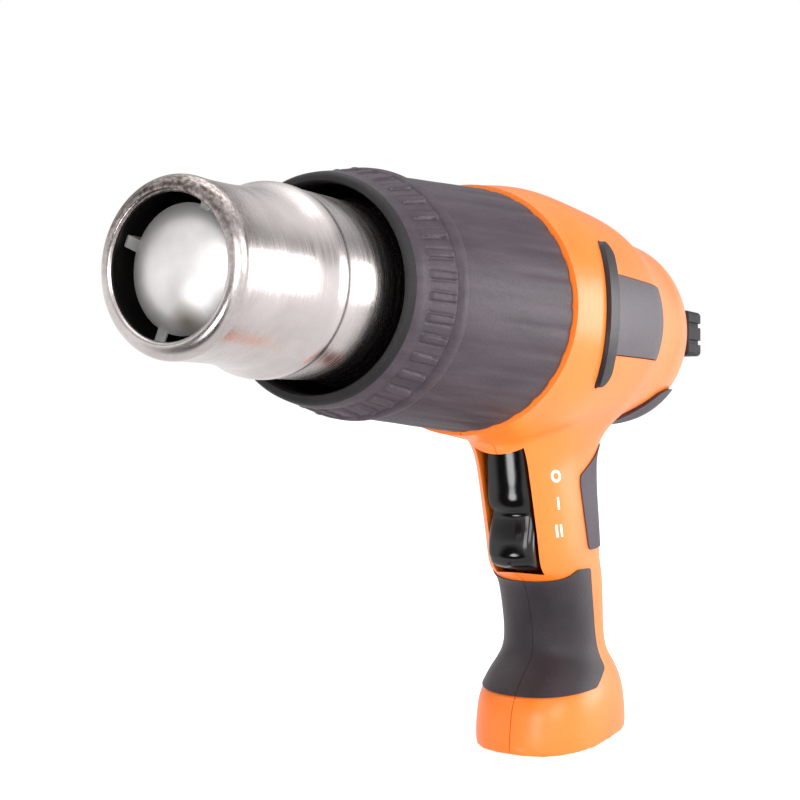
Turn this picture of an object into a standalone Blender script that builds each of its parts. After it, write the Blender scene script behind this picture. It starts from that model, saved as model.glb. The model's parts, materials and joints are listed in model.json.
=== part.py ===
"""A hand-held hot-air gun, built piece by piece.

The tool lies along X with its nozzle towards -X and its handle hanging down, and it stands on the
flat base of the handle at Z = 0. Pieces are laid out in millimetres in the tool's own terms:
"along" is the distance behind the widest circle of the nozzle's rim, "side" is the distance to the
right of the middle plane, and "up" is the height above the nozzle's axis. The function at() turns these into metres.
"""

import math

import bmesh
import bpy
from mathutils import Matrix, Vector

MM = 0.001

# Driving dimensions, in millimetres.
TIP = -2.5  # the nozzle's front edge
REAR_END = 266.0  # of the rear bumper
AXIS_HEIGHT = 130.0  # nozzle axis above the handle's base
GAP = 0.3  # between pieces that touch
WALL = 3.0  # of the housing

NOZZLE_REAR = 112.0
HEATER_BORE = 21.1  # inside radius of the nozzle tube round the heater
STRAP_LEAN = 24  # degrees that the deflector's straps are turned by

SHROUD_FRONT = 47.0
SHROUD_REAR = 120.2
COLLAR_RADIUS = 31.0  # of the housing's collar, which the shroud plugs onto
NECK_BORE = 28.7

PLATE_UP = -0.8  # middle of the side plates
BUMPER_FRONT = 250.0
BUMPER_HALF_WIDTH = 24.7
BUMPER_HALF_HEIGHT = 8.0

FAN_RADIUS = 27.6
SHAFT_RADIUS = 1.15
MOTOR_FRONT = 150.0
MOTOR_REAR = 184.0
MOTOR_RADIUS = 13.9

ROCKER_PIVOT = (162.6, -53.8)  # along, up
ROCKER_RAKE = math.radians(15.5)  # of the handle's front against the vertical
ROCKER_REACH = 22.6  # from the pivot to the rocker's curved ends
ROCKER_HALF_WIDTH = 7.3
PIN_RADIUS = 1.2

INLET_ALONG = 190.0  # middle of the cord's inlet in the base

RING_STEPS = 24
FINE_STEPS = 28
SHARP_ANGLE = math.radians(35)

# The main body's outside: along, half width, half height.
BODY = (
    (120.6, 34.6, 34.6),
    (128.0, 35.6, 35.6),
    (136.0, 36.7, 36.7),
    (144.0, 37.3, 37.3),
    (160.0, 36.9, 36.9),
    (180.0, 36.1, 36.1),
    (190.0, 34.7, 34.7),
    (200.0, 33.2, 33.2),
    (212.0, 32.0, 32.0),
    (222.0, 31.2, 31.5),
    (232.0, 29.2, 31.6),
    (242.0, 26.6, 30.6),
    (250.0, 24.0, 28.0),
    (256.0, 20.6, 23.6),
    (258.5, 17.5, 19.5),
)

# The room inside it.
CAVITY = (
    (100.0, NECK_BORE, NECK_BORE),
    (123.0, NECK_BORE, NECK_BORE),
    (126.0, 32.0, 32.0),
    (140.0, 33.4, 33.4),
    (180.0, 32.6, 32.6),
    (200.0, 29.9, 29.9),
    (222.0, 28.1, 28.4),
    (232.0, 26.1, 28.5),
    (242.0, 23.4, 27.2),
    (250.0, 20.4, 24.2),
    (255.0, 16.0, 18.5),
)

# The handle's outside: up, front edge, rear edge, half width.
HANDLE = (
    (-20.0, 137.0, 216.0, 15.8),
    (-30.0, 139.5, 209.5, 15.2),
    (-36.0, 141.3, 204.0, 14.8),
    (-42.0, 143.8, 201.2, 14.5),
    (-52.0, 148.0, 200.8, 14.5),
    (-64.0, 151.8, 202.3, 14.5),
    (-75.0, 155.3, 203.6, 14.5),
    (-80.0, 163.2, 203.8, 14.5),
    (-88.0, 167.2, 203.8, 14.5),
    (-98.0, 169.8, 203.8, 14.6),
    (-104.0, 168.5, 205.0, 15.4),
    (-110.0, 160.5, 210.5, 17.8),
    (-116.0, 154.5, 214.5, 19.4),
    (-124.0, 152.5, 216.5, 20.0),
    (-130.0, 152.0, 217.0, 20.0),
)
HANDLE_POWER = 2.4

# Screws through the housing: along, up, and the least distance of the surface from the middle
# plane round each boss.
HOUSING_SCREWS = (
    (197.0, 23.0, 18.6),
    (235.0, 13.5, 22.0),
    (235.0, -14.0, 21.8),
    (176.0, -31.0, 14.5),
    (168.0, -118.0, 13.4),
    (202.0, -118.0, 13.4),
)
BOSS_RADIUS = 4.6
HEAD_RADIUS = 3.2
HEAD_HEIGHT = 2.2
HEAD_SINK = 4.0
SHANK_RADIUS = 1.5
LEFT_REACH = 10.0  # how far the screws run into the left shell


def at(along, side, up):
    """The world position, in metres, of a point given in the tool's own terms."""
    return Vector((along - (TIP + REAR_END) / 2, side, up + AXIS_HEIGHT)) * MM


def clear_scene():
    for obj in list(bpy.data.objects):
        bpy.data.objects.remove(obj)


def new_collection(name):
    collection = bpy.data.collections.new(name)
    bpy.context.scene.collection.children.link(collection)
    return collection


def new_object(name, mesh):
    obj = bpy.data.objects.new(name, mesh)
    bpy.data.collections["heat_gun"].objects.link(obj)
    return obj


def face_outwards(bm):
    """Turns a closed solid's faces outwards. A positive volume proves that they are."""
    bmesh.ops.recalc_face_normals(bm, faces=bm.faces)
    if bm.calc_volume(signed=True) < 0:
        bmesh.ops.reverse_faces(bm, faces=bm.faces)


def object_from(name, bm, turn_faces=True):
    """Makes an object of a bmesh."""
    if turn_faces:
        face_outwards(bm)
    mesh = bpy.data.meshes.new(name)
    bm.to_mesh(mesh)
    bm.free()
    return new_object(name, mesh)


def make_cutter(obj):
    """Moves an object that only shapes others to the cutters' collection."""
    cutters = bpy.data.collections["cutters"]
    if obj.name not in cutters.objects:
        bpy.data.collections["heat_gun"].objects.unlink(obj)
        cutters.objects.link(obj)
    obj.hide_render = True
    obj.display_type = "WIRE"


def combine(obj, other, operation):
    modifier = obj.modifiers.new(other.name, "BOOLEAN")
    modifier.object = other
    modifier.operation = operation
    modifier.solver = "EXACT"
    make_cutter(other)


def cut(obj, *others):
    for other in others:
        combine(obj, other, "DIFFERENCE")


def join(obj, *others):
    for other in others:
        combine(obj, other, "UNION")


def keep(obj, *others):
    for other in others:
        combine(obj, other, "INTERSECT")


def solid_mesh(obj):
    """A bmesh of the object as its modifiers leave it, in world space."""
    graph = bpy.context.evaluated_depsgraph_get()
    graph.update()
    mesh = bpy.data.meshes.new_from_object(obj.evaluated_get(graph))
    bm = bmesh.new()
    bm.from_mesh(mesh)
    bm.transform(obj.matrix_world)
    bpy.data.meshes.remove(mesh)
    return bm


def group(name, pieces):
    """One object of several separate solids."""
    whole = bmesh.new()
    bpy.context.view_layer.update()
    for piece in pieces:
        part = solid_mesh(piece)
        mesh = bpy.data.meshes.new(name)
        part.to_mesh(mesh)
        part.free()
        whole.from_mesh(mesh)
        bpy.data.meshes.remove(mesh)
        bpy.data.objects.remove(piece)
    return object_from(name, whole, turn_faces=False)


def set_origin(obj, along, side, up):
    """Puts the object's origin on its joint's axis without moving its mesh."""
    point = at(along, side, up)
    obj.data.transform(Matrix.Translation(-point))
    obj.location = point


def paint(obj, colour, roughness, metallic=0.0):
    """Gives a finished piece its own material and smooth shading."""
    material = bpy.data.materials.new(obj.name)
    material.use_nodes = True
    shader = material.node_tree.nodes["Principled BSDF"]
    shader.inputs["Base Color"].default_value = (*colour, 1.0)
    shader.inputs["Roughness"].default_value = roughness
    shader.inputs["Metallic"].default_value = metallic
    obj.data.materials.clear()
    obj.data.materials.append(material)
    if obj.type == "MESH":
        obj.data.shade_smooth()
        obj.data.set_sharp_from_angle(angle=SHARP_ANGLE)


def box(name, along, side, up):
    """A box between two limits each way."""
    bm = bmesh.new()
    bmesh.ops.create_cube(bm, size=1.0)
    low = at(along[0], side[0], up[0])
    high = at(along[1], side[1], up[1])
    size = high - low
    bmesh.ops.scale(bm, vec=size, verts=bm.verts)
    bmesh.ops.translate(bm, vec=(low + high) / 2, verts=bm.verts)
    return object_from(name, bm)


def rod(name, start, end, radius, steps=12):
    """A round bar between two points."""
    first = at(*start)
    last = at(*end)
    span = last - first
    bm = bmesh.new()
    bmesh.ops.create_cone(
        bm,
        cap_ends=True,
        segments=steps,
        radius1=radius * MM,
        radius2=radius * MM,
        depth=span.length,
    )
    turn = Vector((0, 0, 1)).rotation_difference(span).to_matrix().to_4x4()
    bm.transform(Matrix.Translation((first + last) / 2) @ turn)
    return object_from(name, bm)


def turned(name, profile, steps=RING_STEPS, ring=True):
    """A shape turned round the tool's axis. Its profile holds (along, radius) points, outside first
    and from rear to front. A ring's profile closes on itself and the others end on the axis."""
    mesh = bpy.data.meshes.new(name)
    points = [(radius * MM, 0.0, along * MM) for along, radius in profile]
    count = len(points)
    edges = [(i, (i + 1) % count) for i in range(count if ring else count - 1)]
    mesh.from_pydata(points, edges, [])
    obj = new_object(name, mesh)
    obj.location = at(0.0, 0.0, 0.0)
    obj.rotation_euler = (0.0, math.pi / 2, 0.0)
    screw = obj.modifiers.new("turn", "SCREW")
    screw.angle = 2 * math.pi
    screw.steps = steps
    screw.render_steps = steps
    screw.axis = "Z"
    screw.use_merge_vertices = True
    screw.merge_threshold = 0.00001
    return obj


def turn_about_axis(degrees):
    """The turn about the tool's long axis by an angle."""
    centre = Matrix.Translation(at(0.0, 0.0, 0.0))
    return centre @ Matrix.Rotation(math.radians(degrees), 4, "X") @ centre.inverted()


def extruded(name, outline, side):
    """An outline of (along, up) points in the middle plane, given depth sideways."""
    bm = bmesh.new()
    ring = [bm.verts.new(at(along, side[0], up)) for along, up in outline]
    face = bm.faces.new(ring)
    grown = bmesh.ops.extrude_face_region(bm, geom=[face])["geom"]
    moved = [item for item in grown if isinstance(item, bmesh.types.BMVert)]
    bmesh.ops.translate(bm, vec=(0.0, (side[1] - side[0]) * MM, 0.0), verts=moved)
    return object_from(name, bm)


def loft(name, rings):
    """A closed solid through rings of points that all hold the same number of points."""
    bm = bmesh.new()
    rows = [[bm.verts.new(point) for point in ring] for ring in rings]
    for row, following in zip(rows, rows[1:]):
        for i in range(len(row)):
            j = (i + 1) % len(row)
            bm.faces.new((row[i], row[j], following[j], following[i]))
    bm.faces.new(rows[0])
    bm.faces.new(rows[-1])
    return object_from(name, bm)


def rounded(angle, power):
    """The point at an angle on a superellipse of unit size."""
    wide = math.cos(angle)
    high = math.sin(angle)
    return (
        math.copysign(abs(wide) ** (2 / power), wide),
        math.copysign(abs(high) ** (2 / power), high),
    )


def body_loft(name, stations, grow=0.0):
    """The main body through its stations, grown all round by a distance."""
    rings = []
    for along, half_width, half_height in stations:
        ring = []
        for i in range(RING_STEPS):
            across, over = rounded(2 * math.pi * i / RING_STEPS, 2.0)
            ring.append(at(along, across * (half_width + grow), over * (half_height + grow)))
        rings.append(ring)
    return loft(name, rings)


def handle_loft(name, stations, grow=0.0):
    """The handle through its stations, grown all round by a distance."""
    rings = []
    for up, front, rear, half_width in stations:
        middle = (front + rear) / 2
        half_depth = (rear - front) / 2 + grow
        ring = []
        for i in range(RING_STEPS):
            lengthways, across = rounded(2 * math.pi * i / RING_STEPS, HANDLE_POWER)
            ring.append(at(middle + lengthways * half_depth, across * (half_width + grow), up))
        rings.append(ring)
    return loft(name, rings)


def wire(name, points, radius, per_span=2):
    """A wire along a smooth curve through its points."""
    path = []
    ends = [points[0], *points, points[-1]]
    for before, start, end, after in zip(ends, ends[1:], ends[2:], ends[3:]):
        for i in range(per_span):
            t = i / per_span
            place = []
            for a, b, c, d in zip(before, start, end, after):
                bend = (2 * a - 5 * b + 4 * c - d) * t * t + (3 * b - a - 3 * c + d) * t**3
                place.append(b + ((c - a) * t + bend) / 2)
            path.append(place)
    path.append(points[-1])
    return curve_tube(name, path, radius)


def curve_tube(name, path, radius):
    """A round tube along a list of (along, side, up) points."""
    curve = bpy.data.curves.new(name, "CURVE")
    curve.dimensions = "3D"
    curve.bevel_depth = radius * MM
    curve.bevel_resolution = 2
    curve.use_fill_caps = True
    spline = curve.splines.new("POLY")
    spline.points.add(len(path) - 1)
    for point, place in zip(spline.points, path):
        point.co = (*at(*place), 1.0)
    return new_object(name, curve)


def plate_outline(grow):
    """The curved bar at a side plate's front and the label panel behind it, as two outlines."""
    centre = 172.2
    radius = 33.2
    half_angle = math.radians(32)
    half_width = 2.4 + grow
    bar = []
    for edge, first, last in ((radius + half_width, -1, 1), (radius - half_width, 1, -1)):
        for i in range(9):
            turn = half_angle * (first + (last - first) * i / 8)
            bar.append((centre - edge * math.cos(turn), PLATE_UP + edge * math.sin(turn)))
        tip = half_angle * last
        for i in range(1, 5):
            bend = math.pi * i / 5
            reach = (edge - radius) * math.cos(bend)
            past = half_width * math.sin(bend) * last
            bar.append(
                (
                    centre - (radius + reach) * math.cos(tip) + past * math.sin(tip),
                    PLATE_UP + (radius + reach) * math.sin(tip) + past * math.cos(tip),
                )
            )
    front = 139.0
    rear = 189.5 + grow
    half_height = 11.2 + grow
    panel = [
        (front, PLATE_UP - half_height),
        (rear, PLATE_UP - half_height),
        (rear + 1.0, PLATE_UP),
        (rear, PLATE_UP + half_height),
        (front, PLATE_UP + half_height),
    ]
    return bar, panel


def plate_region(name, side, grow):
    bar, panel = plate_outline(grow)
    limits = sorted((side * 20.0, side * 45.0))
    region = extruded(name, bar, limits)
    join(region, extruded(name + "_panel", panel, limits))
    return region


GRIP_OUTLINE = (
    (140.0, -80.0),
    (161.0, -80.0),
    (167.0, -78.6),
    (171.5, -76.2),
    (180.0, -76.6),
    (183.0, -92.0),
    (185.5, -108.0),
    (176.0, -112.5),
    (140.0, -114.0),
)
REAR_PAD_OUTLINE = (
    (215.0, -35.0),
    (204.0, -36.4),
    (191.5, -39.6),
    (172.2, -47.4),
    (171.8, -50.0),
    (178.6, -70.0),
    (180.0, -71.0),
    (215.0, -71.0),
)
FOOT_OUTLINE = (
    (213.0, -42.0),
    (213.5, -29.0),
    (222.0, -22.0),
    (231.0, -20.4),
    (268.0, -20.4),
    (268.0, -42.0),
)


def grown_outline(outline, grow):
    """An outline moved outwards by a distance, corner by corner."""
    count = len(outline)
    area = 0.0
    for i in range(count):
        here, following = outline[i], outline[(i + 1) % count]
        area += here[0] * following[1] - following[0] * here[1]
    outwards = math.copysign(1.0, area)
    moved = []
    for i in range(count):
        before, here, after = (Vector(outline[(i + k) % count]) for k in (-1, 0, 1))
        first = (here - before).normalized()
        second = (after - here).normalized()
        normal = (Vector((first.y, -first.x)) + Vector((second.y, -second.x))).normalized()
        stretch = grow / max(0.5, normal.dot(Vector((first.y, -first.x))))
        moved.append(tuple(here + normal * stretch * outwards))
    return moved


def half_space(name, side):
    """Everything on one side of the middle plane, less half a gap."""
    limits = sorted((side * GAP / 2, side * 60.0))
    return box(name, (-40.0, 300.0), limits, (-160.0, 60.0))


def body_skin(name, outer, inner):
    """A layer of the body's surface, from one distance above it to another."""
    stations = [station for station in BODY if station[0] > 121.0]
    skin = body_loft(name, stations, outer)
    first, last = stations[0], stations[-1]
    deeper = [(first[0] - 5, *first[1:]), *stations[1:-1]]
    deeper.append((last[0] + min(inner, 0.0), last[1] - 1.0, last[2] - 1.0))
    cut(skin, body_loft(name + "_core", deeper, inner))
    return skin


def handle_skin(name, outer, inner):
    """A layer of the handle's surface."""
    skin = handle_loft(name, HANDLE[1:-1], outer)
    longer = [(-10.0, *HANDLE[1][1:]), *HANDLE[2:-2], (-140.0, *HANDLE[-2][1:])]
    cut(skin, handle_loft(name + "_core", longer, inner))
    return skin


def make_inlays():
    """The soft pads and side plates set into the housing, and the recesses that they sit in."""
    recesses = {}
    for word, side in (("left", -1), ("right", 1)):
        half = half_space("half_for_inlays_" + word, side)
        plate = body_skin("side_plate_" + word, 0.4, -1.1)
        keep(plate, plate_region("plate_region_" + word, side, 0.0))
        paint(plate, (0.10, 0.09, 0.11), 0.55)
        plate_room = body_skin("plate_room_" + word, 3.0, -1.4)
        keep(plate_room, plate_region("plate_room_region_" + word, side, GAP))

        limits = sorted((side * -2.0, side * 45.0))
        recesses[word] = [plate_room]
        inlays = (
            ("grip_", GRIP_OUTLINE, (0.035, 0.03, 0.04), 0.75),
            ("rear_pad_", REAR_PAD_OUTLINE, (0.11, 0.10, 0.12), 0.7),
        )
        for start, outline, colour, roughness in inlays:
            pad = handle_skin(start + word, 0.5, -1.2)
            region = extruded(start + "region_" + word, outline, limits)
            keep(pad, region, half)
            paint(pad, colour, roughness)
            room = handle_skin(start + "room_" + word, 3.0, -1.5)
            wide = extruded(start + "room_region_" + word, grown_outline(outline, GAP), limits)
            keep(room, wide)
            recesses[word].append(room)

    foot = body_skin("rear_foot", 1.3, -1.0)
    keep(foot, extruded("foot_region", FOOT_OUTLINE, (-45.0, 45.0)))
    paint(foot, (0.10, 0.09, 0.11), 0.7)
    foot_room = body_skin("foot_room", 4.0, -1.3)
    keep(foot_room, extruded("foot_room_region", grown_outline(FOOT_OUTLINE, GAP), (-46, 46)))
    for word in recesses:
        recesses[word].append(foot_room)
    return recesses


def rocker_point(down, out):
    """A point given by its distances down the rake and out of the handle from the pivot."""
    along, up = ROCKER_PIVOT
    sine, cosine = math.sin(ROCKER_RAKE), math.cos(ROCKER_RAKE)
    return (along + down * sine - out * cosine, up - down * cosine - out * sine)


def make_screw_room():
    """Bosses inside the shells, and the holes that the screws run in."""
    bosses = []
    right_holes = []
    left_holes = []
    for along, up, surface in HOUSING_SCREWS:
        seat = surface - HEAD_SINK
        reach = surface - 1.2
        bosses.append(rod("boss", (along, -reach, up), (along, reach, up), BOSS_RADIUS, 14))
        right_holes.append(rod("bore", (along, -1.0, up), (along, seat + 1, up), SHANK_RADIUS + GAP))
        right_holes.append(
            rod("sink", (along, seat - GAP, up), (along, 45.0, up), HEAD_RADIUS + GAP)
        )
        left_holes.append(
            rod("pilot", (along, 1.0, up), (along, -LEFT_REACH - GAP, up), SHANK_RADIUS + GAP)
        )
    return (
        group("housing_bosses", bosses),
        merged("right_screw_holes", right_holes),
        group("left_screw_holes", left_holes),
    )


def merged(name, pieces):
    """One object of solids that overlap in pairs, joined by a union."""
    whole = pieces[0]
    whole.name = name
    for piece in pieces[1:]:
        join(whole, piece)
    return whole


def make_clamp_posts():
    posts = []
    holes = []
    for side in (-1, 1):
        limits = sorted((side * 4.9, side * 13.0))
        posts.append(box("post", (192.0, 202.3), limits, (-106.5, -100.5)))
        start = (190.0, side * 7.0, -103.5)
        end = (198.5, side * 7.0, -103.5)
        holes.append(rod("post_hole", start, end, 1.2 + GAP, 12))
    return group("clamp_posts", posts), group("clamp_post_holes", holes)


def make_vents():
    """Air slots across the rear of the housing, above and below the bumper."""
    slots = []
    for up in (11.8, 15.0, 18.2, -11.8, -15.0, -18.2):
        slots.append(box("slot", (246.0, 264.0), (-11.0, 11.0), (up - 0.9, up + 0.9)))
    return group("vent_slots", slots)


def make_housing(recesses):
    """The left and right shells, which meet on the middle plane."""
    handle_room = [
        (max(up, -127.0), front, rear, half_width)
        for up, front, rear, half_width in HANDLE
    ]
    bosses, right_holes, left_holes = make_screw_room()
    posts, post_holes = make_clamp_posts()
    rocker_along, rocker_up = ROCKER_PIVOT
    shared_cuts = (
        rod(
            "rocker_window",
            (rocker_along, -ROCKER_HALF_WIDTH - 0.6, rocker_up),
            (rocker_along, ROCKER_HALF_WIDTH + 0.6, rocker_up),
            ROCKER_REACH + 0.7,
            36,
        ),
        box(
            "bumper_pocket",
            (BUMPER_FRONT - GAP, 275.0),
            (-BUMPER_HALF_WIDTH - GAP, BUMPER_HALF_WIDTH + GAP),
            (-BUMPER_HALF_HEIGHT - GAP, BUMPER_HALF_HEIGHT + GAP),
        ),
        make_vents(),
        rod("inlet_hole", (INLET_ALONG, 0.0, -140.0), (INLET_ALONG, 0.0, -120.0), 6.3, 24),
        post_holes,
    )
    collar = (
        (108.0, COLLAR_RADIUS - GAP, COLLAR_RADIUS - GAP),
        (120.6, COLLAR_RADIUS - GAP, COLLAR_RADIUS - GAP),
    )
    half = body_loft("housing_half", collar + BODY)
    join(half, handle_loft("handle_outside", HANDLE))
    cut(half, body_loft("body_room", CAVITY))
    cut(half, handle_loft("handle_room", handle_room, -WALL))
    join(half, bosses, posts)
    keep(half, half_space("right_half", 1))
    for word, side, holes in (("left", -1, left_holes), ("right", 1, right_holes)):
        bm = solid_mesh(half)
        bm.transform(Matrix.Scale(side, 4, (0.0, 1.0, 0.0)))
        shell = object_from("housing_" + word, bm)
        cut(shell, holes, *shared_cuts, *recesses[word])
        paint(shell, (0.95, 0.34, 0.04), 0.35)
    bpy.data.objects.remove(half)


def make_housing_screws():
    for number, (along, up, surface) in enumerate(HOUSING_SCREWS, 1):
        seat = surface - HEAD_SINK
        start = (along, -LEFT_REACH, up)
        top = (along, seat + HEAD_HEIGHT, up)
        screw = rod(f"housing_screw_{number}", (along, seat, up), top, HEAD_RADIUS)
        join(screw, rod("shank", start, (along, seat + 1, up), SHANK_RADIUS, 12))
        depth = (seat + 1.2, seat + 3.0)
        for length, width in ((2.0, 0.5), (0.5, 2.0)):
            slot = box("slot", (along - length, along + length), depth, (up - width, up + width))
            cut(screw, slot)
        paint(screw, (0.55, 0.55, 0.56), 0.35, 1.0)


def make_rear_bumper():
    """The rubber block that the tool stands on when its nozzle points up."""
    bumper = box(
        "rear_bumper",
        (BUMPER_FRONT, REAR_END),
        (-BUMPER_HALF_WIDTH, BUMPER_HALF_WIDTH),
        (-BUMPER_HALF_HEIGHT, BUMPER_HALF_HEIGHT),
    )
    bevel = bumper.modifiers.new("soft_edges", "BEVEL")
    bevel.width = 1.2 * MM
    bevel.segments = 2
    grooves = []
    for up in (-3.1, 3.1):
        height = (up - 0.85, up + 0.85)
        groove = box("groove", (REAR_END - 1.0, 270.0), (-30.0, 30.0), height)
        outer = BUMPER_HALF_WIDTH - 1.0
        join(groove, box("groove_left", (252.0, 268.0), (-29.0, -outer), height))
        join(groove, box("groove_right", (252.0, 268.0), (outer, 29.0), height))
        grooves.append(groove)
    cut(bumper, group("bumper_grooves", grooves))
    paint(bumper, (0.03, 0.03, 0.035), 0.7)


def make_heat_shroud():
    """The plastic guard round the hot tube: a ribbed ring in front and a sleeve behind."""
    bore = COLLAR_RADIUS
    profile = (
        (SHROUD_REAR, 33.6),
        (112.0, 32.9),
        (92.0, 31.2),
        (77.0, 29.9),
        (69.0, 28.9),
        (67.2, 28.6),
        (66.0, 29.8),
        (64.6, 29.9),
        (50.0, 26.9),
        (48.0, 26.4),
        (SHROUD_FRONT, 25.6),
        (SHROUD_FRONT, 24.2),
        (50.0, 24.0),
        (64.6, 27.0),
        (77.0, 27.9),
        (92.0, 29.2),
        (106.0, 30.3),
        (107.4, bore),
        (SHROUD_REAR, bore),
    )
    paint(turned("heat_shroud", profile, FINE_STEPS), (0.035, 0.03, 0.038), 0.6)


def make_nozzle():
    """The steel tube with its rolled rim and steps, and the screws in its flange."""
    profile = (
        (NOZZLE_REAR, 27.6),
        (110.8, 27.6),
        (110.8, 22.1),
        (59.0, 22.0),
        (55.5, 20.8),
        (31.0, 20.7),
        (28.0, 21.0),
        (25.5, 20.5),
        (22.0, 19.4),
        (16.0, 18.5),
        (8.0, 18.0),
        (-0.4, 18.0),
        (-1.5, 17.4),
        (-2.2, 16.4),
        (TIP, 15.2),
        (-2.3, 14.6),
        (-1.4, 14.4),
        (-0.6, 15.2),
        (1.0, 16.6),
        (8.0, 17.0),
        (16.0, 17.5),
        (22.0, 18.4),
        (25.5, 19.5),
        (28.0, 19.9),
        (55.5, 19.9),
        (59.0, HEATER_BORE),
        (NOZZLE_REAR, HEATER_BORE),
    )
    tube = turned("nozzle_tube", profile, FINE_STEPS)
    holes = []
    screw_circle = 25.0
    for number, angle in enumerate((90, 210, 330), 1):
        side = screw_circle * math.cos(math.radians(angle))
        up = screw_circle * math.sin(math.radians(angle))
        screw = rod(f"nozzle_screw_{number}", (109.0, side, up), (110.5, side, up), 2.2, 12)
        join(screw, rod("shank", (109.7, side, up), (118.0, side, up), 1.2, 10))
        paint(screw, (0.5, 0.5, 0.5), 0.4, 1.0)
        holes.append(rod("hole", (110.0, side, up), (118.4, side, up), 1.2 + GAP, 12))
    holes = group("nozzle_screw_holes", holes)
    cut(tube, holes)
    paint(tube, (0.62, 0.60, 0.58), 0.25, 1.0)
    return holes


def make_deflector():
    """The domed disc in the nozzle's mouth, held by four thin straps."""
    curve = 21.0
    apex = -1.5
    skin = 0.8
    rim_angle = math.asin(13.0 / curve)
    profile = []
    for i in range(5):
        angle = rim_angle * i / 4
        radius = (curve - skin) * math.sin(angle)
        profile.append((apex + curve - (curve - skin) * math.cos(angle), radius))
    for i in range(4, -1, -1):
        angle = rim_angle * i / 4
        profile.append((apex + curve * (1 - math.cos(angle)), curve * math.sin(angle)))
    dome = turned("deflector", profile, 24, ring=False)
    straps = []
    for quarter in range(4):
        strap = box("strap", (2.7, 3.3), (11.8, 16.0), (-0.95, 0.95))
        join(strap, box("strap_foot", (2.7, 11.0), (15.5, 16.2), (-0.95, 0.95)))
        bpy.context.view_layer.update()
        bm = solid_mesh(strap)
        bm.transform(turn_about_axis(STRAP_LEAN + 90 * quarter))
        bpy.data.objects.remove(strap)
        straps.append(object_from("strap", bm))
    join(dome, group("deflector_straps", straps))
    paint(dome, (0.66, 0.65, 0.64), 0.4, 1.0)


def make_heater():
    """The mica cross, its coil and the pieces round them, inside the nozzle tube."""
    sleeve = ((107.5, 19.4), (32.0, 19.4), (32.0, 18.8), (107.5, 18.8))
    paint(turned("mica_sleeve", sleeve), (0.55, 0.45, 0.30), 0.6)

    cross = box("heater_frame", (36.0, 107.0), (-15.0, 15.0), (-0.5, 0.5))
    join(cross, box("upright_plate", (35.9, 107.1), (-0.5, 0.5), (-14.9, 14.9)))
    paint(cross, (0.60, 0.52, 0.38), 0.6)

    turns = 10
    per_turn = 8
    pitch = 6.0
    radius = 16.3
    path = []
    for i in range(turns * per_turn + 1):
        angle = 2 * math.pi * i / per_turn
        along = 40.0 + pitch * i / per_turn
        path.append((along, radius * math.cos(angle), radius * math.sin(angle)))
    paint(curve_tube("heating_coil", path, 0.55), (0.28, 0.26, 0.25), 0.5, 1.0)

    plate = ((110.4, 20.7), (108.2, 20.7), (108.2, 16.4), (110.4, 16.4))
    paint(turned("heater_plate", plate), (0.82, 0.80, 0.74), 0.8)

    for number, (side, up) in enumerate(((-2.2, -18.5), (2.2, -18.5), (0.0, 18.5)), 1):
        limits = (side - 1.6, side + 1.6)
        terminal = box(f"heater_terminal_{number}", (110.7, 116.5), limits, (up - 0.4, up + 0.4))
        paint(terminal, (0.75, 0.70, 0.55), 0.35, 1.0)

    cutout = box("thermal_cutout", (92.0, 104.0), (2.0, 8.0), (0.8, 5.0))
    paint(cutout, (0.70, 0.70, 0.72), 0.4, 1.0)


def make_air_path(screw_holes):
    """The guide round the fan, the motor's mount and the fan itself."""
    guide_profile = (
        (144.5, 31.2),
        (125.5, 31.2),
        (123.4, 28.4),
        (112.4, 28.4),
        (112.4, 22.3),
        (118.0, 22.8),
        (127.0, 28.2),
        (144.5, 28.2),
    )
    guide = turned("air_guide", guide_profile)
    cut(guide, screw_holes)
    cut(guide, box("guide_wire_notch", (111.0, 146.0), (-4.5, 4.5), (-34.0, -19.5)))
    paint(guide, (0.80, 0.78, 0.70), 0.6)

    ring = turned("motor_mount", ((149.4, 33.0), (146.4, 33.0), (146.4, 29.0), (149.4, 29.0)))
    cup_profile = (
        (161.0, 15.9),
        (146.6, 15.9),
        (146.6, 3.6),
        (149.6, 3.6),
        (149.6, MOTOR_RADIUS + GAP),
        (161.0, MOTOR_RADIUS + GAP),
    )
    join(ring, turned("motor_cup", cup_profile, 32))
    vanes = []
    for i in range(6):
        vane = box("vane", (146.8, 149.2), (15.0, 30.0), (-1.0, 1.0))
        vane.data.transform(turn_about_axis(60 * i + 30))
        vanes.append(vane)
    join(ring, group("mount_vanes", vanes))
    cut(ring, box("mount_wire_notch", (145.0, 151.0), (-4.5, 4.5), (-36.0, -26.5)))
    paint(ring, (0.12, 0.12, 0.13), 0.6)

    hub_profile = (
        (142.0, 10.5),
        (131.5, 10.5),
        (130.3, 8.5),
        (130.3, SHAFT_RADIUS + 0.15),
        (142.0, SHAFT_RADIUS + 0.15),
    )
    fan = turned("fan_impeller", hub_profile, 24)
    blades = []
    blade_count = 9
    for i in range(blade_count):
        blade = box("blade", (131.8, 142.8), (9.5, FAN_RADIUS - 0.6), (-0.6, 0.6))
        middle = Matrix.Translation(at(137.0, 0.0, 0.0))
        pitch = Matrix.Rotation(math.radians(38), 4, "Y")
        spin = Matrix.Rotation(2 * math.pi * i / blade_count, 4, "X")
        blade.data.transform(middle @ spin @ pitch @ middle.inverted())
        blades.append(blade)
    join(fan, group("fan_blades", blades))
    paint(fan, (0.06, 0.06, 0.07), 0.5)


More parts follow.
